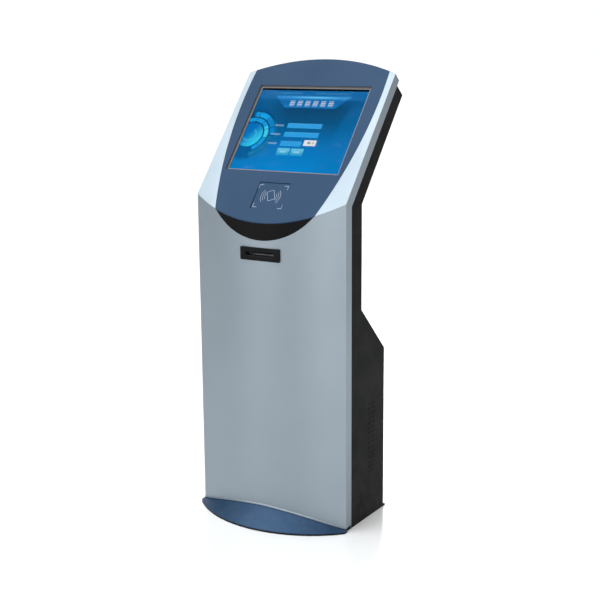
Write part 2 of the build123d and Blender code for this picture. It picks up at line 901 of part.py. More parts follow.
cross_long, cross_wide, cross_deep = screw_cross
with BuildPart() as cover_screws:
    for plane in screw_planes:
        with BuildSketch(plane):
            with Locations((-screw_x, 0), (screw_x, 0)):
                Circle(screw_head_r)
        extrude(amount=screw_head, taper=screw_taper)
        with BuildSketch(plane):
            with Locations((-screw_x, 0), (screw_x, 0)):
                Circle(screw_r)
        extrude(amount=-screw_long)
        with BuildSketch(plane.offset(screw_head)):
            with Locations((-screw_x, 0), (screw_x, 0)):
                Rectangle(cross_long, cross_wide)
                Rectangle(cross_wide, cross_long)
        extrude(amount=-cross_deep, mode=Mode.SUBTRACT)
save(cover_screws, "cover_screws")

with BuildPart() as base_bolts:
    for y in bolt_y:
        with BuildSketch(Plane.XY.offset(base_thick + shell)):
            with Locations((-bolt_x, y), (bolt_x, y)):
                RegularPolygon(radius=base_bolt_head_r, side_count=6)
        extrude(amount=base_bolt_head)
        with BuildSketch(Plane.XY.offset(base_thick + shell)):
            with Locations((-bolt_x, y), (bolt_x, y)):
                Circle(base_bolt_r)
        extrude(amount=-shell - base_thick + bolt_short)
save(base_bolts, "base_bolts")

# ---------------------------------------------------------------------------
# Rear sill, door, hinges and lock
# ---------------------------------------------------------------------------
inlet_x_size = 48.0
inlet_z_size = 28.0
switch_x_size = 24.0
switch_z_size = 30.0
gland_r = 8.0
door_left = -stile_in + door_gap
door_right = stile_in - door_gap
door_low = sill_top + door_gap
door_high = header_low - door_gap
lock_x = door_right - lock_inset

with BuildPart() as rear_sill:
    with BuildSketch(Plane.XZ.offset(-rear_y)):
        with Locations((0, base_thick)):
            Rectangle(2 * wrap_half, sill_top - base_thick, align=(Align.CENTER, Align.MIN))
        with Locations((inlet_x, service_z)):
            Rectangle(inlet_x_size, inlet_z_size, mode=Mode.SUBTRACT)
        with Locations((switch_x, service_z)):
            Rectangle(switch_x_size, switch_z_size, mode=Mode.SUBTRACT)
        with Locations((gland_x, service_z)):
            Circle(gland_r, mode=Mode.SUBTRACT)
    extrude(amount=shell)
    with BuildSketch(Plane.XY.offset(base_thick)):
        with Locations((0, rear_y)):
            Rectangle(2 * (stile_in - lap), stile_lip - lap, align=(Align.CENTER, Align.MAX))
    extrude(amount=shell)
save(rear_sill, "rear_sill")

with BuildPart() as rear_door:
    with BuildSketch(Plane.XZ.offset(-rear_y)):
        with Locations((0, (door_low + door_high) / 2)):
            Rectangle(door_right - door_left, door_high - door_low)
    extrude(amount=door_rim)
    with BuildSketch(Plane.XZ.offset(-rear_y + shell)):
        with Locations((0, (door_low + door_high) / 2)):
            Rectangle(door_right - door_left - 2 * shell, door_high - door_low - 2 * shell)
    extrude(amount=door_rim, mode=Mode.SUBTRACT)
    with BuildSketch(Plane.XZ.offset(-rear_y)):
        with Locations((0, door_low + door_vent_inset), (0, door_high - door_vent_inset)):
            with GridLocations(*door_vent_pitch, 6, 5):
                SlotOverall(*door_vent)
        with Locations((lock_x, lock_z)):
            Circle(lock_r)
    extrude(amount=2 * shell, mode=Mode.SUBTRACT)
save(rear_door, "rear_door")

hinge_x = -stile_in + door_gap / 2
hinge_y = rear_y + barrel_r


def hinge_leaves(side, own):
    """Leaves on one side of the gap, with the knuckles that belong to them."""
    with BuildPart() as leaves:
        for z in hinge_z:
            with BuildSketch(Plane.XY.offset(z - hinge_long / 2)):
                with Locations((hinge_x + side * (hinge_leaf + 1) / 2, rear_y + shell / 2)):
                    Rectangle(hinge_leaf + 1, shell)
            extrude(amount=hinge_long)
            for count in range(knuckles):
                low = z - hinge_long / 2 + count * hinge_long / knuckles
                if count % 2 != own:
                    with BuildSketch(Plane.XY.offset(low - knuckle_gap)):
                        with Locations((hinge_x, hinge_y)):
                            Circle(barrel_r + knuckle_gap)
                    extrude(amount=hinge_long / knuckles + 2 * knuckle_gap, mode=Mode.SUBTRACT)
            for count in range(knuckles):
                low = z - hinge_long / 2 + count * hinge_long / knuckles
                if count % 2 == own:
                    with BuildSketch(Plane.XY.offset(low + knuckle_gap * (own == 1))):
                        with Locations((hinge_x, hinge_y)):
                            Circle(barrel_r)
                    extrude(amount=hinge_long / knuckles - 2 * knuckle_gap * (own == 1))
            with BuildSketch(Plane.XY.offset(z - hinge_long / 2)):
                with Locations((hinge_x, hinge_y)):
                    Circle(hinge_pin_r + hinge_fit * (own == 1))
            extrude(amount=hinge_long, mode=Mode.SUBTRACT)
    return leaves


save(hinge_leaves(-1, 0), "hinge_leaves_frame")
save(hinge_leaves(1, 1), "hinge_leaves_door")

with BuildPart() as hinge_pins:
    for z in hinge_z:
        with BuildSketch(Plane.XY.offset(z - hinge_long / 2)):
            with Locations((hinge_x, hinge_y)):
                Circle(hinge_pin_r)
        extrude(amount=hinge_long)
        with BuildSketch(Plane.XY.offset(z + hinge_long / 2)):
            with Locations((hinge_x, hinge_y)):
                Circle(pin_head_r)
        extrude(amount=pin_head)
save(hinge_pins, "hinge_pins")

cam_y = rear_y - stile_lip - 0.5
with BuildPart() as lock_body:
    with BuildSketch(Plane.XZ.offset(-rear_y)):
        with Locations((lock_x, lock_z)):
            Circle(lock_r + lock_rim)
    extrude(amount=-lock_rim)
    with BuildSketch(Plane.XZ.offset(-rear_y)):
        with Locations((lock_x, lock_z)):
            Circle(lock_r)
    extrude(amount=rear_y - cam_y - knuckle_gap)
    with BuildSketch(Plane.XZ.offset(-rear_y - lock_rim)):
        with Locations((lock_x, lock_z)):
            Circle(lock_r - lock_rim + hinge_fit)
    extrude(amount=TALL, mode=Mode.SUBTRACT)
save(lock_body, "lock_body")

with BuildPart() as lock_plug:
    with BuildSketch(Plane.XZ.offset(-rear_y - plug_proud)):
        with Locations((lock_x, lock_z)):
            Circle(lock_r - lock_rim)
    extrude(amount=rear_y + plug_proud - cam_y)
    with BuildSketch(Plane.XZ.offset(-rear_y - plug_proud)):
        with Locations((lock_x, lock_z)):
            SlotOverall(key_long, key_wide, rotation=90)
    extrude(amount=key_deep, mode=Mode.SUBTRACT)
save(lock_plug, "lock_plug")

with BuildPart() as lock_cam:
    with BuildSketch(Plane.XZ.offset(-cam_y)):
        with Locations((lock_x, lock_z)):
            Circle(cam_wide / 2)
        with Locations((lock_x, lock_z)):
            Rectangle(cam_wide, cam_long, align=(Align.CENTER, Align.MAX))
    extrude(amount=cam_thick)
    with BuildSketch(Plane.XZ.offset(-cam_y + cam_thick)):
        with Locations((lock_x, lock_z)):
            RegularPolygon(radius=cam_nut_r, side_count=6)
    extrude(amount=cam_nut)
save(lock_cam, "lock_cam")

# ---------------------------------------------------------------------------
# Ticket bezel
# ---------------------------------------------------------------------------
bezel_front = front_mid_y - bezel_proud
with BuildPart() as ticket_bezel:
    with BuildSketch(Plane.XZ.offset(-bezel_front)):
        with Locations((0, slot_z)):
            RectangleRounded(bezel_x, bezel_z, bezel_corner)
    extrude(amount=-3 * bezel_proud)
    fillet(ticket_bezel.faces().sort_by(Axis.Y)[0].edges(), radius=bezel_edge)
    with BuildSketch():
        add(front_disc(0))
    extrude(amount=TALL, mode=Mode.SUBTRACT)
    with BuildSketch(Plane.XZ.offset(-bezel_front - bezel_proud)):
        with Locations((0, slot_z)):
            Rectangle(throat_x, throat_z)
    extrude(amount=-throat_long)
    with BuildSketch(Plane.XZ.offset(-bezel_front)):
        with Locations((0, slot_z)):
            SlotOverall(slot_x, slot_tall)
    extrude(amount=-throat_long - bezel_proud, mode=Mode.SUBTRACT)
    with BuildSketch(Plane.XZ.offset(-bezel_front)):
        with Locations((0, slot_z)):
            SlotOverall(slot_x + 2 * slot_funnel, slot_tall + 2 * slot_funnel)
    extrude(amount=-slot_funnel, taper=45, mode=Mode.SUBTRACT)
save(ticket_bezel, "ticket_bezel")

# ---------------------------------------------------------------------------
# Ticket printer
# ---------------------------------------------------------------------------
gear_r = gear_module * gear_teeth / 2
pinion_r = gear_module * pinion_teeth / 2
gear_distance = gear_r + pinion_r + mesh_gap
motor_y = platen_y + gear_distance * sin(pi / 4)
motor_z = platen_z - gear_distance * sin(pi / 4)
gear_x = printer_half + gear_space

with BuildPart() as printer_chassis:
    with BuildSketch(Plane.YZ.offset(-printer_half)):
        with Locations((printer_front, printer_base_z)):
            Rectangle(printer_rear - printer_front, printer_top - printer_base_z,
                      align=(Align.MIN, Align.MIN))
    extrude(amount=2 * printer_half)
    with BuildSketch(Plane.YZ.offset(-printer_half + side_plate)):
        with Locations((printer_front + side_plate, printer_base_z + side_plate)):
            Rectangle(TALL, TALL, align=(Align.MIN, Align.MIN))
    extrude(amount=2 * (printer_half - side_plate), mode=Mode.SUBTRACT)
    with BuildSketch(Plane.XZ.offset(-printer_front)):
        with Locations((0, slot_z)):
            SlotOverall(paper_x + slot_clear, slot_clear)
    extrude(amount=-2 * side_plate, mode=Mode.SUBTRACT)
    with BuildSketch(Plane.YZ.offset(-printer_half)):
        with Locations((platen_y, platen_z)):
            Circle(shaft_r + shaft_fit)
        with Locations((cover_axis_y, cover_axis_z)):
            Circle(hinge_pin_r)
        with Locations((motor_y, motor_z)):
            Circle(motor_hole_r)
    extrude(amount=2 * printer_half, mode=Mode.SUBTRACT)
save(printer_chassis, "printer_chassis")

with BuildPart() as cover_pin:
    with BuildSketch(Plane.YZ.offset(-printer_half)):
        with Locations((cover_axis_y, cover_axis_z)):
            Circle(hinge_pin_r)
    extrude(amount=2 * printer_half)
save(cover_pin, "cover_pin")

lug_half = printer_half - side_plate - 0.5
lug_wide = 4.0
with BuildPart() as printer_cover:
    with BuildSketch(Plane.XY.offset(printer_top + cover_gap)):
        with Locations((0, printer_front + 1)):
            Rectangle(2 * printer_half - 1, cover_axis_y - cover_back - printer_front - 1,
                      align=(Align.CENTER, Align.MIN))
    extrude(amount=cover_thick)
    fillet(printer_cover.edges().filter_by(Axis.Z), radius=3.0)
    for side in (-1, 1):
        with BuildSketch(Plane.YZ.offset(side * (lug_half - lug_wide / 2) - lug_wide / 2)):
            with Locations((cover_axis_y, cover_axis_z)):
                Circle(lug_r)
            with Locations((cover_axis_y + lug_r, cover_axis_z)):
                Rectangle(lug_long, printer_top + cover_gap + cover_thick - cover_axis_z,
                          align=(Align.MAX, Align.MIN))
        extrude(amount=lug_wide)
    with BuildSketch(Plane.YZ.offset(-printer_half)):
        with Locations((cover_axis_y, cover_axis_z)):
            Circle(hinge_pin_r + hinge_fit)
    extrude(amount=2 * printer_half, mode=Mode.SUBTRACT)
save(printer_cover, "printer_cover")

with BuildPart() as print_head:
    with BuildSketch(Plane.XY.offset(slot_z + head_clear)):
        with Locations((0, platen_y)):
            Rectangle(paper_x, head_wide)
    extrude(amount=printer_top + cover_gap - slot_z - head_clear)
    with BuildSketch(Plane.XY.offset(slot_z + head_fin_tall)):
        with Locations((0, platen_y)):
            with GridLocations(head_fin_pitch, 1, head_fins, 1):
                Rectangle(*head_fin)
    extrude(amount=head_fin_tall, mode=Mode.SUBTRACT)
    with BuildSketch(Plane.XY.offset(slot_z + head_fin_tall)):
        with Locations((0, platen_y)):
            Rectangle(paper_x, head_spine)
    extrude(amount=head_fin_tall)
save(print_head, "print_head")

with BuildPart() as platen_roller:
    with BuildSketch(Plane.YZ.offset(-paper_x / 2 - 1)):
        with Locations((platen_y, platen_z)):
            Circle(platen_r)
            Circle(shaft_r, mode=Mode.SUBTRACT)
    extrude(amount=paper_x + 2)
save(platen_roller, "platen_roller")

with BuildPart() as platen_shaft:
    with BuildSketch(Plane.YZ.offset(-printer_half - 2)):
        with Locations((platen_y, platen_z)):
            Circle(shaft_r)
    extrude(amount=2 * printer_half + 2 + gear_wide + shaft_tail)
save(platen_shaft, "platen_shaft")


def spur_gear(teeth, bore, y, z, turn):
    """Spur gear on an axis along X, with a little backlash in its teeth."""
    pitch_r = gear_module * teeth / 2
    root_r = pitch_r - tooth_root * gear_module
    tooth_tall = tooth_depth * gear_module
    with BuildPart() as gear:
        with BuildSketch(Plane(origin=(gear_x, y, z), x_dir=(0, 1, 0), z_dir=(1, 0, 0))):
            Circle(root_r)
            with PolarLocations(root_r - tooth_sunk, teeth, start_angle=turn):
                Trapezoid(tooth_wide * gear_module, tooth_tall + tooth_sunk, tooth_slope, rotation=-90,
                          align=(Align.CENTER, Align.MIN))
            Circle(bore, mode=Mode.SUBTRACT)
        extrude(amount=gear_wide)
    return gear


save(spur_gear(gear_teeth, shaft_r, platen_y, platen_z, -45.0), "platen_gear")

with BuildPart() as motor_pinion:
    add(spur_gear(pinion_teeth, pinion_bore, motor_y, motor_z, 135.0 + 180.0 / pinion_teeth).part)
    with BuildSketch(Plane.YZ.offset(printer_half - side_plate - pinion_tail)):
        with Locations((motor_y, motor_z)):
            Circle(motor_shaft_r)
    extrude(amount=pinion_tail + side_plate + 2 * gear_space + gear_wide)
save(motor_pinion, "motor_pinion")

with BuildPart() as printer_motor:
    with BuildSketch(Plane.YZ.offset(printer_half - side_plate)):
        with Locations((motor_y, motor_z)):
            Circle(motor_r)
    extrude(amount=-motor_long)
    fillet(printer_motor.faces().sort_by(Axis.X)[0].edges(), radius=1.0)
    with BuildSketch(Plane.YZ.offset(printer_half - side_plate)):
        with Locations((motor_y, motor_z)):
            Circle(motor_shaft_r + shaft_fit)
    extrude(amount=-motor_bore_deep, mode=Mode.SUBTRACT)
save(printer_motor, "printer_motor")

blade_y = printer_front + side_plate + blade_inset
with BuildPart() as cutter_blade:
    with BuildSketch(Plane.XZ.offset(-blade_y)):
        with Locations((0, slot_z + blade_rise)):
            Rectangle(paper_x + slot_clear, blade_tall, align=(Align.CENTER, Align.MIN))
        with Locations((0, slot_z + blade_rise)):
            RegularPolygon(radius=blade_notch, side_count=3, rotation=90, mode=Mode.SUBTRACT)
    extrude(amount=-blade_thick)
save(cutter_blade, "cutter_blade")

with BuildPart() as counter_blade:
    with BuildSketch(Plane.XZ.offset(-blade_y - counter_thick)):
        with Locations((0, printer_base_z + side_plate)):
            Rectangle(paper_x + blade_over, slot_z - counter_drop - printer_base_z - side_plate,
                      align=(Align.CENTER, Align.MIN))
    extrude(amount=-counter_thick)
    with BuildSketch(Plane.XY.offset(printer_base_z + side_plate)):
        with Locations((0, blade_y + counter_thick)):
            Rectangle(paper_x + blade_over, counter_foot, align=(Align.CENTER, Align.MIN))
    extrude(amount=counter_thick)
save(counter_blade, "counter_blade")

# ---------------------------------------------------------------------------
# Printer shelf and paper supply
# ---------------------------------------------------------------------------
cheek_x = paper_x / 2 + cheek_gap
shelf_half = 70.0
with BuildPart() as printer_shelf:
    with BuildSketch(Plane.XY.offset(printer_base_z - shell)):
        with Locations((0, printer_front)):
            Rectangle(2 * shelf_half, neck_y - shell - printer_front, align=(Align.CENTER, Align.MIN))
        with Locations((0, paper_gate_y)):
            Rectangle(paper_x + paper_gate[0], paper_gate[1], mode=Mode.SUBTRACT)
    extrude(amount=shell)
    with BuildSketch(Plane.XZ.offset(-neck_y + shell)):
        with Locations((0, printer_base_z - shell)):
            Rectangle(2 * shelf_half, shelf_drop, align=(Align.CENTER, Align.MAX))
    extrude(amount=shell)
save(printer_shelf, "printer_shelf")

with BuildPart() as roll_bracket:
    with BuildSketch(Plane.XY.offset(printer_base_z - 2 * shell)):
        with Locations((0, roll_y)):
            Rectangle(2 * (cheek_x + shell), bracket_deep)
    extrude(amount=shell)
    for side in (-1, 1):
        with BuildSketch(Plane.YZ.offset(side * (cheek_x + shell / 2) - shell / 2)):
            with Locations((roll_y, roll_z)):
                Circle(cheek_r)
                Rectangle(2 * cheek_r, printer_base_z - 2 * shell - roll_z, align=(Align.CENTER, Align.MIN))
                Circle(spindle_r, mode=Mode.SUBTRACT)
        extrude(amount=shell)
save(roll_bracket, "roll_bracket")

with BuildPart() as roll_spindle:
    with BuildSketch(Plane.YZ.offset(-cheek_x - shell - spindle_rim_thick)):
        with Locations((roll_y, roll_z)):
            Circle(spindle_r)
    extrude(amount=2 * (cheek_x + shell + spindle_rim_thick))
    for side in (-1, 1):
        rim_mid = side * (cheek_x + shell + spindle_rim_thick / 2)
        with BuildSketch(Plane.YZ.offset(rim_mid - spindle_rim_thick / 2)):
            with Locations((roll_y, roll_z)):
                Circle(spindle_r + spindle_rim)
        extrude(amount=spindle_rim_thick)
save(roll_spindle, "roll_spindle")

with BuildPart() as roll_core:
    with BuildSketch(Plane.YZ.offset(-paper_x / 2)):
        with Locations((roll_y, roll_z)):
            Circle(core_r)
            Circle(spindle_r + spindle_fit, mode=Mode.SUBTRACT)
    extrude(amount=paper_x)
save(roll_core, "roll_core")

with BuildPart() as paper_roll:
    with BuildSketch(Plane.YZ.offset(-paper_x / 2 + roll_end)):
        with Locations((roll_y, roll_z)):
            Circle(roll_r)
            Circle(core_r, mode=Mode.SUBTRACT)
    extrude(amount=paper_x - 2 * roll_end)
save(paper_roll, "paper_roll")

# ---------------------------------------------------------------------------
# Computer, power supply and fan
# ---------------------------------------------------------------------------
case_x, case_y, case_z = case_size
mid_x, mid_y = case_mid
button_x = mid_x + case_x / 2 - button_inset
button_z = shelf_z + case_z / 2

with BuildPart() as computer_shelf:
    with BuildSketch(Plane.XY.offset(shelf_z - shell)):
        with Locations((0, shelf_front)):
            Rectangle(2 * (side_in - lap), shelf_rear - shelf_front, align=(Align.CENTER, Align.MIN))
        with Locations((0, mid_y)):
            with GridLocations(*shelf_slot_pitch, 6, 3):
                SlotOverall(*shelf_slot, mode=Mode.SUBTRACT)
    extrude(amount=shell)
    for side in (-1, 1):
        with BuildSketch(Plane.YZ.offset(side * (side_in - lap - shell / 2) - shell / 2)):
            with Locations((shelf_front, shelf_z)):
                Rectangle(shelf_rear - shelf_front, shelf_flange, align=(Align.MIN, Align.MAX))
        extrude(amount=shell)
save(computer_shelf, "computer_shelf")

with BuildPart() as computer_case:
    with BuildSketch(Plane.XY.offset(shelf_z)):
        with Locations(case_mid):
            RectangleRounded(case_x, case_y, case_corner)
    extrude(amount=case_z)
    with BuildSketch(Plane.XY.offset(shelf_z + case_wall)):
        with Locations(case_mid):
            Rectangle(case_x - 2 * case_wall, case_y - 2 * case_wall)
    extrude(amount=case_z - 2 * case_wall, mode=Mode.SUBTRACT)
    with BuildSketch(Plane.XY.offset(shelf_z + case_z)):
        with Locations(case_mid):
            with GridLocations(*case_vent_pitch, 13, 13):
                SlotOverall(*case_vent)
    extrude(amount=-2 * case_wall, mode=Mode.SUBTRACT)
    with BuildSketch(Plane.XZ.offset(-mid_y - case_y / 2)):
        with Locations((button_x, button_z)):
            Circle(button_r + button_gap)
        for port in range(ports):
            with Locations((mid_x - case_x / 2 + port_inset + port * port_pitch, button_z - port_drop)):
                Rectangle(*port_size)
    extrude(amount=2 * case_wall, mode=Mode.SUBTRACT)
save(computer_case, "computer_case")

with BuildPart() as power_button:
    with BuildSketch(Plane.XZ.offset(-mid_y - case_y / 2 - button_proud)):
        with Locations((button_x, button_z)):
            Circle(button_r)
    extrude(amount=button_proud + case_wall + 2 * button_r / 10)
    fillet(power_button.faces().sort_by(Axis.Y)[-1].edges(), radius=button_edge)
    with BuildSketch(Plane.XZ.offset(-mid_y - case_y / 2 + case_wall + button_gap)):
        with Locations((button_x, button_z)):
            Circle(button_r + button_flange)
    extrude(amount=button_flange_thick)
save(power_button, "power_button")

supply_x, supply_y, supply_z = supply_size
with BuildPart() as power_supply:
    with BuildSketch(Plane.XY.offset(base_thick)):
        with Locations(supply_mid):
            RectangleRounded(supply_x, supply_y, supply_corner)
    extrude(amount=supply_z)
    with BuildSketch(Plane.XY.offset(base_thick + case_wall)):
        with Locations(supply_mid):
            Rectangle(supply_x - 2 * case_wall, supply_y - 2 * case_wall)
    extrude(amount=supply_z - 2 * case_wall, mode=Mode.SUBTRACT)
    with BuildSketch(Plane.XZ.offset(-supply_mid[1] - supply_y / 2)):
        with Locations((supply_mid[0], base_thick + supply_z / 2)):
            with GridLocations(*supply_vent_pitch, 10, 9):
                SlotOverall(*supply_vent)
    extrude(amount=2 * case_wall, mode=Mode.SUBTRACT)
save(power_supply, "power_supply")

fan_bore = fan_size / 2 - fan_rim
hub_r = 16.0
fan_blades = 7
blade_pitch = radians(40)
fan_in = side_in - fan_thick
fan_plane = Plane(origin=(fan_in, fan_y, fan_z), x_dir=(0, 1, 0), z_dir=(1, 0, 0))
with BuildPart() as fan_frame:
    with BuildSketch(fan_plane):
        RectangleRounded(fan_size, fan_size, fan_corner)
        Circle(fan_bore, mode=Mode.SUBTRACT)
        with GridLocations(fan_hole_pitch, fan_hole_pitch, 2, 2):
            Circle(fan_hole_r, mode=Mode.SUBTRACT)
    extrude(amount=fan_thick)
    with BuildSketch(fan_plane):
        Circle(hub_r)
        with PolarLocations(0, 4, start_angle=45):
            Rectangle(fan_size / 2 - fan_space, fan_spoke, align=(Align.MIN, Align.CENTER))
    extrude(amount=fan_hub_thick)
    with BuildSketch(fan_plane):
        Circle(fan_shaft_r + shaft_fit)
    extrude(amount=fan_hub_thick, mode=Mode.SUBTRACT)
save(fan_frame, "fan_frame")

with BuildPart() as fan_rotor:
    with BuildSketch(fan_plane.offset(fan_hub_thick + fan_space)):
        Circle(hub_r)
    extrude(amount=fan_thick - 2 * fan_hub_thick)
    fillet(fan_rotor.faces().sort_by(Axis.X)[-1].edges(), radius=fan_root)
    for blade in range(fan_blades):
        turn = 2 * pi * blade / fan_blades
        radial = Vector(0, cos(turn), sin(turn))
        tangent = Vector(0, -sin(turn), cos(turn))
        chord = Vector(1, 0, 0) * cos(blade_pitch) + tangent * sin(blade_pitch)
        root = Vector(fan_in + fan_thick / 2 + fan_space, fan_y, fan_z) + radial * (hub_r - fan_root)
        with BuildSketch(Plane(origin=root, x_dir=chord, z_dir=radial)):
            RectangleRounded(*fan_blade)
        extrude(amount=fan_bore - fan_tip - hub_r + fan_root)
    with BuildSketch(fan_plane.offset(fan_space / 2)):
        Circle(fan_shaft_r)
    extrude(amount=5 * fan_space)
save(fan_rotor, "fan_rotor")

with BuildPart() as fan_screws:
    with BuildSketch(fan_plane):
        with GridLocations(fan_hole_pitch, fan_hole_pitch, 2, 2):
            Circle(fan_screw_head_r)
    extrude(amount=-fan_hole_r, taper=screw_taper)
    with BuildSketch(fan_plane):
        with GridLocations(fan_hole_pitch, fan_hole_pitch, 2, 2):
            Circle(fan_hole_r)
    extrude(amount=fan_thick - fan_hub_thick)
save(fan_screws, "fan_screws")

# ---------------------------------------------------------------------------
# Power inlet, switch and cable gland
# ---------------------------------------------------------------------------
with BuildPart() as power_inlet:
    with BuildSketch(Plane.XZ.offset(-rear_y)):
        with Locations((inlet_x, service_z)):
            Rectangle(inlet_x_size, inlet_z_size)
    extrude(amount=inlet_deep)
    with BuildSketch(Plane.XZ.offset(-rear_y)):
        with Locations((inlet_x, service_z)):
            RectangleRounded(inlet_x_size + inlet_rim[0], inlet_z_size + inlet_rim[1], inlet_rim_r)
    extrude(amount=-inlet_rim_thick)
    with BuildSketch(Plane.XZ.offset(-rear_y - inlet_rim_thick)):
        with Locations((inlet_x, service_z)):
            RectangleRounded(*socket_size)
    extrude(amount=socket_deep, mode=Mode.SUBTRACT)
    pin_wide, pin_tall, pin_long = socket_pin
    pin_low = service_z - socket_pin_z
    with BuildSketch(Plane.XZ.offset(-rear_y + inlet_rim_thick / 4 + socket_deep - inlet_rim_thick)):
        with Locations((inlet_x - socket_pin_x, pin_low), (inlet_x, service_z + socket_pin_z),
                       (inlet_x + socket_pin_x, pin_low)):
            Rectangle(pin_wide, pin_tall)
    extrude(amount=-pin_long)
save(power_inlet, "power_inlet")

rocker_wide = 13.0
rocker_tall = 20.0
rocker_y = rear_y - 3.0
rocker_pin = 2.0
rocker_pin_r = 1.5
with BuildPart() as switch_frame:
    with BuildSketch(Plane.XZ.offset(-rear_y)):
        with Locations((switch_x, service_z)):
            Rectangle(switch_x_size, switch_z_size)
    extrude(amount=switch_deep)
    with BuildSketch(Plane.XZ.offset(-rear_y)):
        with Locations((switch_x, service_z)):
            RectangleRounded(switch_x_size + switch_rim, switch_z_size + switch_rim, switch_rim_r)
    extrude(amount=-inlet_rim_thick)
    with BuildSketch(Plane.XZ.offset(-rear_y - inlet_rim_thick)):
        with Locations((switch_x, service_z)):
            Rectangle(rocker_wide + rocker_room[0], rocker_tall + rocker_room[1])
    extrude(amount=switch_deep - inlet_rim_thick, mode=Mode.SUBTRACT)
    with BuildSketch(Plane.YZ.offset(switch_x - rocker_wide / 2 - rocker_pin)):
        with Locations((rocker_y, service_z)):
            Circle(rocker_pin_r + shaft_fit)
    extrude(amount=rocker_wide + 2 * rocker_pin, mode=Mode.SUBTRACT)
save(switch_frame, "switch_frame")

rocker_turn = radians(rocker_tilt)
rocker_plane = Plane(
    origin=(switch_x - rocker_wide / 2, rocker_y, service_z),
    x_dir=(0, cos(rocker_turn), sin(rocker_turn)),
    z_dir=(1, 0, 0),
)
with BuildPart() as rocker_switch:
    with BuildSketch(rocker_plane):
        with BuildLine():
            Polyline(
                (-rocker_heel, -rocker_heel),
                (-rocker_heel, rocker_heel),
                (rocker_top, rocker_tall / 2),
                (rocker_dip, 0),
                (rocker_top, -rocker_tall / 2),
                close=True,
            )
        make_face()
    extrude(amount=rocker_wide)
    with BuildSketch(rocker_plane.offset(-rocker_pin)):
        Circle(rocker_pin_r)
    extrude(amount=rocker_wide + 2 * rocker_pin)
save(rocker_switch, "rocker_switch")

with BuildPart() as cable_gland:
    with BuildSketch(Plane.XZ.offset(-rear_y)):
        with Locations((gland_x, service_z)):
            RegularPolygon(radius=gland_r + gland_rim, side_count=6)
    extrude(amount=-gland_nut)
    with BuildSketch(Plane.XZ.offset(-rear_y - gland_nut)):
        with Locations((gland_x, service_z)):
            Circle(gland_r + gland_cap)
    extrude(amount=-gland_nut, taper=gland_taper)
    with BuildSketch(Plane.XZ.offset(-rear_y)):
        with Locations((gland_x, service_z)):
            Circle(gland_r)
    extrude(amount=gland_thread)
    with BuildSketch(Plane.XZ.offset(-rear_y + shell)):
        with Locations((gland_x, service_z)):
            RegularPolygon(radius=gland_r + gland_rim, side_count=6)
    extrude(amount=gland_lock_nut)
    with BuildSketch(Plane.XZ.offset(-rear_y - 2 * gland_nut)):
        with Locations((gland_x, service_z)):
            Circle(gland_r - gland_wall)
    extrude(amount=gland_thread + 2 * gland_nut, mode=Mode.SUBTRACT)
save(cable_gland, "cable_gland")
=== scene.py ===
import bmesh
import bpy
import json
from math import cos, pi, radians, sin, tau
from mathutils import Matrix, Vector


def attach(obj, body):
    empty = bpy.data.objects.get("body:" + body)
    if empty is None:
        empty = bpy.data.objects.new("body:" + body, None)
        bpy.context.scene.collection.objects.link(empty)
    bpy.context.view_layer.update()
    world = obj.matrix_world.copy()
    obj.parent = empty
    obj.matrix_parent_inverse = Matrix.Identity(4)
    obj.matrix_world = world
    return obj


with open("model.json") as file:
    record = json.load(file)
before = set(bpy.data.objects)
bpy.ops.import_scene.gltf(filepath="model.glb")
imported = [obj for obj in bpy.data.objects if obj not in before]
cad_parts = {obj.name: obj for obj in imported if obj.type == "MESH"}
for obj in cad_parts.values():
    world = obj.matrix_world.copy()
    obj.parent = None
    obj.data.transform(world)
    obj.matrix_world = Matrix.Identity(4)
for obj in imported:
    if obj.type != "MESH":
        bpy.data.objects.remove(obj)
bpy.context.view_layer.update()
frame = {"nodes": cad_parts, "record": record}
NODES = frame["nodes"]

# ---------------------------------------------------------------------------
# The leaning head: x across, u up its face, n out of it, all in millimetres
# ---------------------------------------------------------------------------
MM = 0.001
LEAN = radians(40.0)
FRONT_Y = -60.0
FOLD_Z = 954.0
PANEL_N = -11.3          # front of the display panel
ROLL_Y = -0.04           # middle of the rings in the paper and its core, in metres
ROLL_Z = 0.7


def on_head(x, u, n):
    """Point of the row frame, in metres, for a place on the head's face."""
    y = FRONT_Y + u * sin(LEAN) - n * cos(LEAN)
    z = FOLD_Z + u * cos(LEAN) + n * sin(LEAN)
    return Vector((x, y, z)) * MM


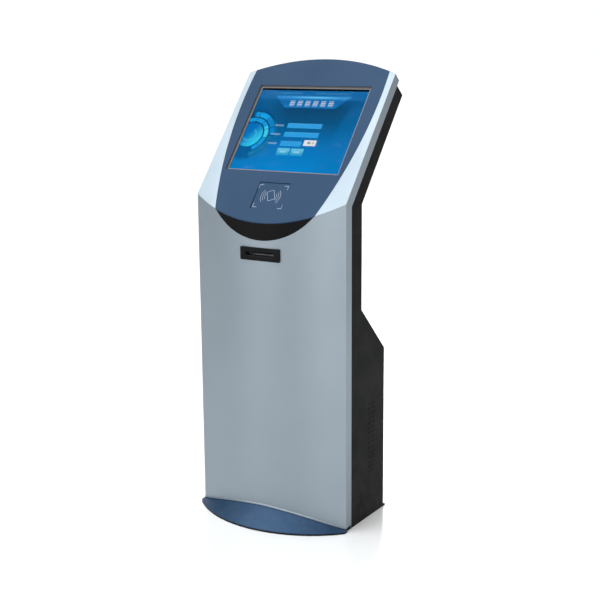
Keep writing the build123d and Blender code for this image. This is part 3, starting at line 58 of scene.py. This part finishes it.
# ---------------------------------------------------------------------------
# Node helper
# ---------------------------------------------------------------------------
class Look:
    """One procedural material: a Principled shader and the nodes that feed it."""

    def __init__(self, name, **fixed):
        self.mat = bpy.data.materials.new(name)
        self.mat.use_nodes = True
        self.tree = self.mat.node_tree
        self.shader = self.tree.nodes["Principled BSDF"]
        for key, value in fixed.items():
            self.shader.inputs[key.replace("_", " ")].default_value = value
        self.place = self.add("ShaderNodeTexCoord").outputs["Object"]

    def add(self, kind, inputs=None, **settings):
        node = self.tree.nodes.new(kind)
        for key, value in settings.items():
            setattr(node, key, value)
        for key, value in (inputs or {}).items():
            self.feed(node.inputs[key], value)
        return node

    def feed(self, socket, value):
        if isinstance(value, bpy.types.NodeSocket):
            self.tree.links.new(value, socket)
        else:
            socket.default_value = value

    def math(self, operation, a, b=0.0, clamp=False):
        return self.add("ShaderNodeMath", {0: a, 1: b}, operation=operation, use_clamp=clamp).outputs[0]

    def stretch(self, scale):
        """Object coordinates, stretched."""
        return self.add("ShaderNodeVectorMath", {0: self.place, 1: scale}, operation="MULTIPLY").outputs[0]

    def noise(self, scale, detail=2.0, rough=0.5, vector=None):
        inputs = {"Vector": vector or self.place, "Scale": scale, "Detail": detail, "Roughness": rough}
        return self.add("ShaderNodeTexNoise", inputs).outputs[0]

    def cells(self, scale, feature="F1", out="Distance"):
        node = self.add("ShaderNodeTexVoronoi", {"Vector": self.place, "Scale": scale}, feature=feature)
        return node.outputs[out]

    def remap(self, value, low, high, to_low=0.0, to_high=1.0):
        node = self.add("ShaderNodeMapRange", {0: value, 1: low, 2: high, 3: to_low, 4: to_high},
                        interpolation_type="SMOOTHSTEP")
        return node.outputs[0]

    def mix(self, share, a, b):
        node = self.add("ShaderNodeMix", {0: share, 6: colour(a), 7: colour(b)}, data_type="RGBA")
        return node.outputs[2]

    def ramp(self, value, *stops):
        node = self.add("ShaderNodeValToRGB", {0: value})
        points = node.color_ramp.elements
        while len(points) < len(stops):
            points.new(0.5)
        for point, (place, shade) in zip(points, stops):
            point.position = place
            point.color = colour(shade)
        return node.outputs[0]

    def bump(self, height, strength, distance, normal=None):
        """Normal bent by a height; the distance is in metres."""
        inputs = {"Height": height, "Strength": strength, "Distance": distance}
        if normal is not None:
            inputs["Normal"] = normal
        return self.add("ShaderNodeBump", inputs).outputs[0]

    def rounded(self, radius):
        """Normal with its edges rounded to a radius in metres, and a mask of those edges."""
        soft = self.add("ShaderNodeBevel", {"Radius": radius}, samples=4).outputs[0]
        hard = self.add("ShaderNodeNewGeometry").outputs["Normal"]
        dot = self.add("ShaderNodeVectorMath", {0: soft, 1: hard}, operation="DOT_PRODUCT").outputs["Value"]
        return soft, self.remap(dot, 0.995, 0.86)

    def done(self, **links):
        for key, socket in links.items():
            self.tree.links.new(socket, self.shader.inputs[key.replace("_", " ")])
        return self.mat


def colour(value):
    if isinstance(value, bpy.types.NodeSocket):
        return value
    if isinstance(value, (int, float)):
        return (value, value, value, 1.0)
    return (*value[:3], 1.0)


def shade(base, factor):
    return tuple(c * factor for c in base)


# ---------------------------------------------------------------------------
# Materials
# ---------------------------------------------------------------------------
def paint(name, base, metallic, rough, flake, grain, edge_shade, dust=0.0, gloss=0.5):
    """Sprayed coat on sheet metal: flake, orange peel, thinner film on the edges, a little dust low down."""
    look = Look(name, Metallic=metallic, Specular_IOR_Level=gloss)
    cloud = look.noise(2.3, 4.0, 0.55)
    speck = look.cells(1500.0, out="Color")
    tone = look.mix(look.remap(cloud, 0.3, 0.7), shade(base, 0.965), shade(base, 1.035))
    flecked = look.add("ShaderNodeMix", {0: flake, 6: tone, 7: speck}, data_type="RGBA", blend_type="OVERLAY")
    tint = flecked.outputs[2]
    soft, edge = look.rounded(0.0007)
    worn = look.math("MULTIPLY", edge, look.remap(look.noise(60.0, 3.0, 0.6), 0.35, 0.6, 0.35, 0.9))
    worn_tint = look.mix(worn, tint, shade(base, edge_shade))
    height = look.add("ShaderNodeSeparateXYZ", {0: look.place}).outputs["Z"]
    settled = look.remap(look.noise(28.0, 5.0, 0.6), 0.35, 0.75)
    low = look.math("MULTIPLY", look.remap(height, 0.16, 0.0), settled)
    dusty = look.mix(look.math("MULTIPLY", low, dust), worn_tint, (0.42, 0.41, 0.39))
    wipes = look.noise(7.0, 3.0, 0.5, look.stretch((1.0, 1.0, 0.35)))
    satin = look.remap(wipes, 0.25, 0.75, rough - 0.035, rough + 0.045)
    satin = look.math("ADD", satin, look.math("MULTIPLY", low, dust))
    peel = look.bump(look.noise(grain, 2.0, 0.5), 0.22, 0.00009, soft)
    return look.done(Base_Color=dusty, Roughness=satin, Normal=peel)


def powder(name, base, rough, grain, depth, edge_shade=1.9, dust=0.1):
    """Fine-textured powder coat, with pebbles about as wide as a grain of sand."""
    look = Look(name, Specular_IOR_Level=0.07)
    pebble = look.cells(grain, "SMOOTH_F1")
    fine = look.noise(grain * 1.7, 3.0, 0.6)
    relief = look.math("ADD", look.math("MULTIPLY", pebble, 0.7), look.math("MULTIPLY", fine, 0.6))
    tone = look.mix(look.remap(look.noise(5.0, 4.0, 0.6), 0.3, 0.7), shade(base, 0.86), shade(base, 1.16))
    speck = look.mix(look.remap(fine, 0.45, 0.8), tone, shade(base, 1.7))
    soft, edge = look.rounded(0.0006)
    chips = look.math("MULTIPLY", edge, look.remap(look.noise(90.0, 4.0, 0.65), 0.42, 0.66))
    worn = look.mix(chips, speck, shade(base, edge_shade))
    height = look.add("ShaderNodeSeparateXYZ", {0: look.place}).outputs["Z"]
    settled = look.remap(look.noise(24.0, 5.0, 0.62), 0.4, 0.8)
    low = look.math("MULTIPLY", look.remap(height, 0.22, 0.0), settled)
    dusty = look.mix(look.math("MULTIPLY", low, dust), worn, (0.2, 0.195, 0.185))
    satin = look.remap(look.noise(11.0, 4.0, 0.6), 0.25, 0.75, rough - 0.06, rough + 0.08)
    return look.done(Base_Color=dusty, Roughness=satin, Normal=look.bump(relief, 0.5, depth, soft))


def moulded(name, base, rough, grain=1100.0, depth=0.00005, **fixed):
    """Moulded plastic with a spark-eroded grain and faint handling marks."""
    look = Look(name, **fixed)
    pit = look.noise(grain, 3.0, 0.6)
    tone = look.mix(look.remap(look.noise(18.0, 3.0, 0.5), 0.3, 0.7), shade(base, 0.93), shade(base, 1.07))
    soft, edge = look.rounded(0.0005)
    tint = look.mix(look.math("MULTIPLY", edge, 0.5), tone, shade(base, 1.6))
    satin = look.remap(look.noise(35.0, 4.0, 0.6), 0.25, 0.75, rough - 0.06, rough + 0.07)
    return look.done(Base_Color=tint, Roughness=satin, Normal=look.bump(pit, 0.4, depth, soft))


def metal(name, base, rough, stretch=(1.0, 1.0, 1.0), grain=900.0, spangle=0.0, oxide=0.15):
    """Bare or plated metal: rolling lines, crystals where it is galvanised, and dull patches."""
    look = Look(name, Metallic=1.0)
    lines = look.noise(grain, 3.0, 0.6, look.stretch(stretch))
    crystal = look.cells(95.0, out="Color")
    grey = look.add("ShaderNodeRGBToBW", {0: crystal}).outputs[0]
    tone = look.mix(look.remap(lines, 0.3, 0.7), shade(base, 0.9), shade(base, 1.05))
    tint = look.mix(look.math("MULTIPLY", grey, spangle), tone, shade(base, 0.72))
    dull = look.remap(look.noise(14.0, 5.0, 0.62), 0.48, 0.8)
    tint = look.mix(look.math("MULTIPLY", dull, oxide), tint, shade(base, 0.45))
    satin = look.math("ADD", look.remap(lines, 0.2, 0.8, rough - 0.06, rough + 0.08),
                      look.math("MULTIPLY", dull, 0.12))
    soft, _ = look.rounded(0.0004)
    return look.done(Base_Color=tint, Roughness=satin, Normal=look.bump(lines, 0.15, 0.00003, soft))


def glass():
    """Clear cover glass: nearly invisible, with faint finger marks in its anti-reflection coat."""
    look = Look("touch_glass", IOR=1.45, Specular_IOR_Level=0.5, Coat_Weight=0.2, Coat_Roughness=0.03)
    smear = look.noise(16.0, 5.0, 0.6, look.stretch((1.0, 2.2, 2.2)))
    prints = look.cells(70.0, "SMOOTH_F1")
    touched = look.math("MULTIPLY", look.remap(smear, 0.5, 0.72), look.remap(prints, 0.5, 0.2))
    veil = look.math("ADD", look.remap(smear, 0.3, 0.9, 0.006, 0.016), look.math("MULTIPLY", touched, 0.04))
    tint = look.mix(touched, (0.01, 0.02, 0.03), (0.3, 0.33, 0.36))
    return look.done(Base_Color=tint, Alpha=veil, Roughness=look.remap(touched, 0.0, 1.0, 0.05, 0.3))


def layered(name, base, edge, pitch, rough):
    """Wound paper or card: thin rings seen on its ends, faint fibre elsewhere."""
    look = Look(name)
    parts = look.add("ShaderNodeSeparateXYZ", {0: look.place})
    y = look.math("SUBTRACT", parts.outputs["Y"], ROLL_Y)
    z = look.math("SUBTRACT", parts.outputs["Z"], ROLL_Z)
    radius = look.math("SQRT", look.math("ADD", look.math("MULTIPLY", y, y), look.math("MULTIPLY", z, z)))
    turn = look.math("SINE", look.math("ADD", look.math("MULTIPLY", radius, tau / pitch),
                                       look.math("MULTIPLY", look.noise(40.0), 3.0)))
    fibre = look.noise(700.0, 4.0, 0.7, look.stretch((0.3, 1.0, 1.0)))
    tone = look.mix(look.remap(turn, -1.0, 1.0), shade(base, edge), base)
    tint = look.mix(look.remap(fibre, 0.55, 0.8, 0.0, 0.25), tone, shade(base, 0.8))
    both = look.math("ADD", turn, fibre)
    return look.done(Base_Color=tint, Roughness=look.remap(fibre, 0.2, 0.8, rough - 0.05, rough + 0.05),
                     Normal=look.bump(both, 0.25, 0.00006))


# ---------------------------------------------------------------------------
# The lit screen
# ---------------------------------------------------------------------------
def lit_screen():
    look = Look("lcd_picture", Specular_IOR_Level=0.0, Roughness=0.45, Emission_Strength=0.97)
    mm = look.add("ShaderNodeVectorMath", {0: look.place, 1: (1 / MM,) * 3}, operation="MULTIPLY").outputs[0]
    x = look.add("ShaderNodeSeparateXYZ", {0: mm}).outputs["X"]

    def measured(toward, start):
        """Distance from start along a direction, in millimetres."""
        length = look.add("ShaderNodeVectorMath", {0: mm, 1: toward}, operation="DOT_PRODUCT")
        return look.math("SUBTRACT", length.outputs["Value"], start)

    u = measured((0.0, sin(LEAN), cos(LEAN)), FRONT_Y * sin(LEAN) + FOLD_Z * cos(LEAN))
    n = measured((0.0, -cos(LEAN), sin(LEAN)), FOLD_Z * sin(LEAN) - FRONT_Y * cos(LEAN))

    def both(*masks):
        total = masks[0]
        for mask in masks[1:]:
            total = look.math("MULTIPLY", total, mask)
        return total

    def span(value, low, high, soft=0.7):
        """1 between low and high, with soft ends."""
        off = look.math("ABSOLUTE", look.math("SUBTRACT", value, (low + high) / 2))
        return look.remap(off, (high - low) / 2 + soft / 2, (high - low) / 2 - soft / 2)

    def box(x0, x1, u0, u1, soft=0.7):
        return both(span(x, x0, x1, soft), span(u, u0, u1, soft))

    def dashes(value, pitch, share):
        """Repeats every pitch; 1 over the given share of it."""
        return look.remap(look.math("FRACT", look.math("DIVIDE", value, pitch)), share + 0.06, share - 0.06)

    # backdrop, from its low edge to its high edge
    rise = look.math("DIVIDE", look.math("SUBTRACT", u, 100.0), 286.0, clamp=True)
    picture = look.ramp(
        rise,
        (0.0, (0.0, 0.235, 0.64)),
        (0.3, (0.001, 0.175, 0.5)),
        (0.58, (0.0005, 0.088, 0.235)),
        (0.76, (0.002, 0.06, 0.165)),
        (1.0, (0.003, 0.09, 0.26)),
    )
    # brighter panels at the sides
    side = look.remap(look.math("ABSOLUTE", look.math("SUBTRACT", x, 20.0)), 60.0, 175.0)
    picture = look.mix(look.math("MULTIPLY", side, 0.35), picture, (0.001, 0.17, 0.47))
    slant = look.math("ADD", x, look.math("MULTIPLY", u, -0.22))
    flank = both(look.remap(slant, 66.0, 69.0), span(u, 60.0, 332.0, 30.0))
    picture = look.mix(look.math("MULTIPLY", flank, 0.3), picture, (0.002, 0.17, 0.46))
    # header: a band and a tray under it
    picture = look.mix(look.math("MULTIPLY", look.remap(u, 352.0, 358.0), 0.75), picture, (0.008, 0.15, 0.42))
    tray_half = look.math("ADD", look.math("MULTIPLY", look.math("SUBTRACT", u, 325.0), 1.04), 86.0)
    off_middle = look.math("ABSOLUTE", look.math("SUBTRACT", x, 2.0))
    inside = look.remap(look.math("SUBTRACT", tray_half, off_middle), 0.0, 2.0)
    tray = both(inside, look.remap(u, 324.0, 327.0), look.remap(u, 372.0, 368.0))
    tray_tone = look.ramp(
        look.math("DIVIDE", look.math("SUBTRACT", u, 324.0), 48.0, clamp=True),
        (0.0, (0.006, 0.2, 0.56)),
        (0.55, (0.006, 0.14, 0.42)),
        (0.85, (0.03, 0.3, 0.7)),
        (1.0, (0.01, 0.16, 0.46)),
    )
    picture = look.mix(look.math("MULTIPLY", tray, 0.9), picture, tray_tone)
    streak = both(look.remap(look.math("ABSOLUTE", look.math("SUBTRACT", u, 364.0)), 5.0, 0.0),
                  look.remap(look.math("ABSOLUTE", look.math("SUBTRACT", x, 15.0)), 120.0, 0.0))
    picture = look.mix(look.math("MULTIPLY", streak, 0.7), picture, (0.18, 0.72, 1.0))
    # six plain tiles where a title would be, and a row of ticks above it
    tile_x = look.math("ADD", x, 70.0)
    bars = dashes(look.math("ADD", u, 3.0), 6.4, 0.55)
    posts = dashes(look.math("ADD", tile_x, 4.5), 26.5, 0.2)
    row = box(-70.0, 85.0, 332.0, 351.0)
    tiles = both(row, dashes(tile_x, 26.5, 0.62), look.math("MAXIMUM", bars, posts))
    picture = look.mix(look.math("MULTIPLY", tiles, 0.85), picture, (0.62, 0.74, 0.86))
    two_rows = look.math("MAXIMUM", box(-124.0, -36.0, 376.0, 381.0), box(4.0, 124.0, 376.0, 381.0))
    ticks = both(two_rows, dashes(x, 9.0, 0.4))
    picture = look.mix(look.math("MULTIPLY", ticks, 0.5), picture, (0.12, 0.5, 0.85))
    # ring gauge on the left
    gx = look.math("ADD", x, 165.0)
    gu = look.math("SUBTRACT", u, 224.0)
    radius = look.math("SQRT", look.math("ADD", look.math("MULTIPLY", gx, gx), look.math("MULTIPLY", gu, gu)))
    angle = look.math("MULTIPLY", look.math("ARCTAN2", gu, gx), 180.0 / pi)
    shadow = look.math("MULTIPLY", look.remap(radius, 96.0, 80.0), 0.45)
    picture = look.mix(shadow, picture, (0.0, 0.02, 0.08))
    disc = look.remap(radius, 43.5, 42.5)
    glow = look.remap(look.math("ADD", gx, look.math("MULTIPLY", gu, -0.8)), -20.0, 62.0)
    picture = look.mix(disc, picture, look.mix(glow, (0.0, 0.16, 0.5), (0.03, 0.62, 0.88)))
    picture = look.mix(both(span(radius, 20.0, 22.0), span(angle, -150.0, 60.0)), picture, (0.08, 0.5, 0.85))
    for low, high, start, end, tone, share in (
        (48.0, 61.0, -62.0, 112.0, (0.008, 0.36, 0.8), 0.9),
        (48.0, 61.0, -8.0, 34.0, (0.05, 0.66, 0.9), 0.85),
        (65.5, 82.0, 2.0, 98.0, (0.003, 0.24, 0.62), 0.9),
        (65.5, 82.0, 52.0, 92.0, (0.006, 0.4, 0.85), 0.8),
        (86.0, 87.5, -70.0, 40.0, (0.02, 0.4, 0.75), 0.8),
    ):
        notches = dashes(look.math("ADD", angle, 7.0), 31.0, 0.93)
        ring = both(span(radius, low, high), span(angle, start, end, 1.5), notches)
        picture = look.mix(look.math("MULTIPLY", ring, share), picture, tone)
    fan = both(span(radius, 66.0, 80.0), span(angle, -72.0, 0.0, 1.5), dashes(angle, 6.5, 0.5))
    picture = look.mix(look.math("MULTIPLY", fan, 0.55), picture, (0.02, 0.42, 0.75))
    # form: three fields with plain label ticks, a white box and two buttons
    field = (0.028, 0.35, 0.76)
    for x1, u0 in ((70.0, 252.5), (70.0, 221.0), (24.0, 188.5)):
        edge = look.mix(look.remap(u, u0 + 14.0, u0 + 17.5), field, (0.1, 0.48, 0.86))
        picture = look.mix(box(-47.0, x1, u0, u0 + 17.0), picture, edge)
        label = both(box(-91.0, -60.0, u0 + 5.0, u0 + 11.5), dashes(look.math("ADD", x, 2.0 * u0), 7.6, 0.62))
        picture = look.mix(look.math("MULTIPLY", label, 0.6), picture, (0.4, 0.62, 0.8))
    picture = look.mix(box(31.0, 72.0, 192.0, 212.0, 1.2), picture, (0.78, 0.8, 0.84))
    picture = look.mix(box(43.0, 53.0, 198.5, 206.5, 1.5), picture, (0.35, 0.3, 0.24))
    picture = look.mix(box(59.0, 65.0, 200.0, 205.0, 1.5), picture, (0.4, 0.42, 0.46))
    for x0 in (-48.0, -1.5):
        lit = look.mix(look.remap(u, 156.0, 181.0), (0.02, 0.34, 0.62), (0.14, 0.56, 0.76))
        picture = look.mix(box(x0, x0 + 42.0, 156.0, 181.0, 1.2), picture, lit)
        marks = dashes(look.math("SUBTRACT", x, x0 + 11.0), 7.2, 0.6)
        caption = both(box(x0 + 11.0, x0 + 31.0, 165.0, 172.0), marks)
        picture = look.mix(look.math("MULTIPLY", caption, 0.6), picture, (0.55, 0.85, 0.95))
    # black border outside the lit area, and the panel's own metal sides
    front = look.remap(n, PANEL_N - 0.4, PANEL_N - 0.2)
    lit_area = both(box(-186.0, 181.5, 101.5, 388.5, 0.6), front)
    picture = look.mix(lit_area, (0.001, 0.001, 0.0012), picture)
    rim = look.mix(look.remap(look.noise(900.0, 3.0), 0.3, 0.7), (0.006, 0.006, 0.007), (0.012, 0.012, 0.013))
    rim = look.mix(front, rim, (0.0008, 0.0008, 0.001))
    return look.done(Emission_Color=picture, Base_Color=rim)


# ---------------------------------------------------------------------------
# Materials on the CAD nodes
# ---------------------------------------------------------------------------
SILVER = (0.298, 0.35, 0.395)
BLUE = (0.0155, 0.0445, 0.095)
LOOKS = {
    "silver_paint": paint("silver_paint", SILVER, 0.78, 0.4, 0.05, 420.0, 1.35, dust=0.05),
    "blue_paint": paint("blue_paint", BLUE, 0.45, 0.42, 0.06, 420.0, 1.5, dust=0.1, gloss=0.25),
    "black_powder": powder("black_powder", (0.0068, 0.0068, 0.0072), 0.5, 850.0, 0.00022),
    "black_gloss": moulded(
        "black_gloss", (0.005, 0.005, 0.0056), 0.3, 500.0, 0.00002, Specular_IOR_Level=0.08
    ),
    "black_plastic": moulded("black_plastic", (0.0055, 0.0055, 0.0062), 0.42, Specular_IOR_Level=0.1),
    "grey_frame": paint("grey_frame", (0.2, 0.19, 0.19), 0.35, 0.42, 0.03, 500.0, 1.3),
    "glass": glass(),
    "lcd": lit_screen(),
    "zinc": metal("zinc", (0.6, 0.62, 0.65), 0.38, (1.0, 0.25, 1.0), 420.0, 0.3),
    "steel": metal("steel", (0.58, 0.58, 0.59), 0.3, (1.0, 1.0, 0.2), 800.0, 0.0),
    "motor_steel": metal("motor_steel", (0.5, 0.5, 0.52), 0.34, (0.15, 1.0, 1.0), 700.0, 0.0),
    "chrome": metal("chrome", (0.5, 0.51, 0.52), 0.22, (1.0, 1.0, 1.0), 500.0, 0.0, 0.05),
    "black_screw": moulded("black_screw", (0.02, 0.02, 0.021), 0.36, 700.0, Metallic=0.6),
    "aluminium": metal("aluminium", (0.72, 0.73, 0.75), 0.36, (1.0, 0.2, 0.2), 600.0, 0.0),
    "brass": metal("brass", (0.72, 0.52, 0.2), 0.28, (0.2, 1.0, 1.0), 900.0, 0.0),
    "rubber": moulded("rubber", (0.018, 0.018, 0.019), 0.72, 900.0, 0.00008),
    "grey_plastic": moulded("grey_plastic", (0.22, 0.225, 0.235), 0.45),
    "white_plastic": moulded(
        "white_plastic", (0.72, 0.71, 0.67), 0.4, Subsurface_Weight=0.15, Subsurface_Scale=0.002
    ),
    "red_plastic": moulded("red_plastic", (0.42, 0.012, 0.012), 0.28, 600.0, 0.00002, Coat_Weight=0.3),
    "dark_case": powder("dark_case", (0.03, 0.03, 0.033), 0.46, 1000.0, 0.00012),
    "card": layered("card", (0.42, 0.28, 0.16), 0.75, 0.0012, 0.8),
    "paper": layered("paper", (0.86, 0.86, 0.84), 0.86, 0.0009, 0.7),
}
for row in frame["record"]["subparts"]:
    for slot in NODES[row["node"]].material_slots:
        slot.material = LOOKS[row["material_slot"]]
# Toe cover: a copy of the blue paint made 1.3 times lighter. The extra lightness is painted light, standing
# in for light the lamps don't bring to the toe.
NODES["toe_cover"].material_slots[0].material = paint(
    "blue_paint_toe_painted_light", shade(BLUE, 1.3), 0.45, 0.4, 0.06, 420.0, 1.25, dust=0.04, gloss=0.3
)


# ---------------------------------------------------------------------------
# Printed card sign on the reader's pocket: brackets, a tilted card and three arcs each side
# ---------------------------------------------------------------------------
SIGN_N = -2.0            # floor of the reader's pocket
SIGN_THICK = 0.12
STROKE = 1.5
BRACKET = 13.0           # arms of the corner brackets
CARD_TILT = radians(24.0)
CARD_HALF = (8, 13)      # centres of the card's rounded corners
CARD_CORNER = 3.0
CARD_U = 12.0
WAVE_U = 9.0
WAVE_R = 19.0            # first arc, and the step to the next
WAVE_STEP = 6.5


def arc(x, u, radius, start, end, steps=14):
    angles = [radians(start + (end - start) * step / steps) for step in range(steps + 1)]
    return [(x + radius * cos(a), u + radius * sin(a)) for a in angles]


def stroke(mesh, path, wide):
    """Thin printed line: a closed ribbon along a path of (x, u) points."""
    points = [Vector(point) for point in path]
    rows = []
    for place, point in enumerate(points):
        back = points[max(place - 1, 0)]
        ahead = points[min(place + 1, len(points) - 1)]
        along = (ahead - back).normalized()
        turn = 1.0
        if 0 < place < len(points) - 1:
            turn = max(0.5, along.dot((ahead - point).normalized()))
        across = Vector((-along.y, along.x)) * wide / 2 / turn
        corners = []
        for side in (point + across, point - across):
            for n in (SIGN_N, SIGN_N + SIGN_THICK):
                corners.append(mesh.verts.new(on_head(side.x, side.y, n)))
        rows.append(corners)
    order = (0, 1, 3, 2)
    for one, two in zip(rows, rows[1:]):
        for first in range(4):
            a, b = order[first], order[(first + 1) % 4]
            mesh.faces.new((one[a], one[b], two[b], two[a]))
    mesh.faces.new([rows[0][i] for i in reversed(order)])
    mesh.faces.new([rows[-1][i] for i in order])


def piece(name, mesh, look, body="cabinet"):
    """Finished object from a mesh being built, riding on a body."""
    bmesh.ops.recalc_face_normals(mesh, faces=mesh.faces)
    data = bpy.data.meshes.new(name)
    mesh.to_mesh(data)
    mesh.free()
    data.materials.append(look)
    made = bpy.data.objects.new(name, data)
    bpy.context.scene.collection.objects.link(made)
    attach(made, body)


sign = bmesh.new()
for sx, su, x, u in ((-1, 1, -50, 46), (1, 1, 46, 46), (-1, -1, -46, -29), (1, -1, 50, -29)):
    stroke(sign, [(x - sx * BRACKET, u), (x, u), (x, u - su * BRACKET)], STROKE * 1.2)
card = []
for sx, su, start in ((1, 1, 0), (-1, 1, 90), (-1, -1, 180), (1, -1, 270)):
    card += arc(sx * CARD_HALF[0], su * CARD_HALF[1], CARD_CORNER, start, start + 90, 5)
card.append(card[0])
turned = [
    (x * cos(CARD_TILT) - u * sin(CARD_TILT), CARD_U + x * sin(CARD_TILT) + u * cos(CARD_TILT))
    for x, u in card
]
stroke(sign, turned, STROKE)
for side in (0, 180):
    for step in range(3):
        spread = 32 + 4 * step
        stroke(sign, arc(0.0, WAVE_U, WAVE_R + WAVE_STEP * step, side - spread, side + spread), STROKE)
ink = Look("printed_ink", Roughness=0.5, Specular_IOR_Level=0.4)
inked = ink.mix(ink.remap(ink.noise(900.0, 3.0, 0.6), 0.35, 0.7), (0.24, 0.3, 0.4), (0.36, 0.43, 0.52))
ink.done(Base_Color=inked, Normal=ink.bump(ink.noise(1300.0, 2.0), 0.3, 0.00003))
piece("reader_sign", sign, ink.mat)

# ---------------------------------------------------------------------------
# Studio
# ---------------------------------------------------------------------------
WHITE = (1.0, 1.0, 1.0, 1.0)
FLOOR_HALF = 60.0
floor_mesh = bpy.data.meshes.new("studio_floor")
floor_corners = [(sx * FLOOR_HALF, sy * FLOOR_HALF, 0) for sx, sy in ((-1, -1), (1, -1), (1, 1), (-1, 1))]
floor_mesh.from_pydata(floor_corners, [], [(0, 1, 2, 3)])
floor = bpy.data.objects.new("studio_floor", floor_mesh)
bpy.context.scene.collection.objects.link(floor)
pale = Look("studio_floor", Roughness=0.16, Specular_IOR_Level=0.6, Emission_Strength=0.08)
pale.shader.inputs["Emission Color"].default_value = WHITE
grain = pale.noise(3.0, 3.0, 0.5)
pale.done(Base_Color=pale.mix(grain, (0.9, 0.9, 0.9), (0.93, 0.93, 0.93)))
floor_mesh.materials.append(pale.mat)


SOFTBOX_AIM = (0.0, 0.0, 0.6)


def softbox(name, place, size, power):
    """Rectangular light turned towards the middle of the cabinet."""
    data = bpy.data.lights.new(name, "AREA")
    data.shape = "RECTANGLE"
    data.size, data.size_y = size
    data.energy = power
    light = bpy.data.objects.new(name, data)
    light.location = place
    light.rotation_euler = (Vector(SOFTBOX_AIM) - Vector(place)).to_track_quat("-Z", "Y").to_euler()
    bpy.context.scene.collection.objects.link(light)


softbox("fill_front", (0.9, -3.6, 1.3), (1.8, 2.2), 19.0)
softbox("fill_left", (-2.0, -3.2, 0.8), (1.4, 2.0), 8.0)
softbox("fill_back", (-0.9, 3.4, 1.7), (2.0, 2.4), 40.0)

sun_data = bpy.data.lights.new("sky_light", "SUN")
sun_data.energy = 2.5
sun_data.angle = radians(60.0)
sun_data.color = (0.955, 0.99, 1.0)
sun = bpy.data.objects.new("sky_light", sun_data)
sun.rotation_euler = Vector((0.27, 0.3, -0.91)).to_track_quat("-Z", "Y").to_euler()
bpy.context.scene.collection.objects.link(sun)

# Air: white wherever it shows directly; as a light, white behind the object and softly graded elsewhere
world = bpy.data.worlds.new("studio")
world.use_nodes = True
bpy.context.scene.world = world
air = world.node_tree
direction = air.nodes.new("ShaderNodeTexCoord").outputs["Generated"]


def lobe(toward, low, high, dim, full):
    """Brightness that grows from dim to full as a direction turns towards one."""
    lean = air.nodes.new("ShaderNodeVectorMath")
    lean.operation = "DOT_PRODUCT"
    air.links.new(direction, lean.inputs[0])
    lean.inputs[1].default_value = toward
    fade = air.nodes.new("ShaderNodeMapRange")
    fade.interpolation_type = "SMOOTHSTEP"
    for key, value in ((1, low), (2, high), (3, dim), (4, full)):
        fade.inputs[key].default_value = value
    air.links.new(lean.outputs["Value"], fade.inputs[0])
    return fade.outputs[0]


def brighter(a, b):
    node = air.nodes.new("ShaderNodeMath")
    node.operation = "MAXIMUM"
    air.links.new(a, node.inputs[0])
    air.links.new(b, node.inputs[1])
    return node.outputs[0]


graded = brighter(
    lobe((-0.524, 0.852, 0.0), 0.72, 0.93, 0.0, 1.02),
    lobe((0.9, -0.3, 0.3), -1.0, 0.8, 0.22, 0.44),
)
shown = brighter(graded, air.nodes.new("ShaderNodeLightPath").outputs["Is Camera Ray"])
air.links.new(shown, air.nodes["Background"].inputs["Strength"])
air.nodes["Background"].inputs["Color"].default_value = WHITE

# Camera
camera_data = bpy.data.cameras.new("camera")
camera_data.lens = 71.9
camera_data.sensor_width = 36.0
camera = bpy.data.objects.new("camera", camera_data)
bpy.context.scene.collection.objects.link(camera)
aim = Vector((-0.51211, 0.83221, -0.21254)).normalized()
right = Vector((0.85250, 0.52267, -0.00756)).normalized()
up = right.cross(aim).normalized()
turn = Matrix((right, up, -aim)).transposed().to_4x4()
camera.matrix_world = Matrix.Translation((1.8401, -2.8883, 1.3936)) @ turn
bpy.context.scene.camera = camera
bpy.context.scene.view_settings.view_transform = "Standard"
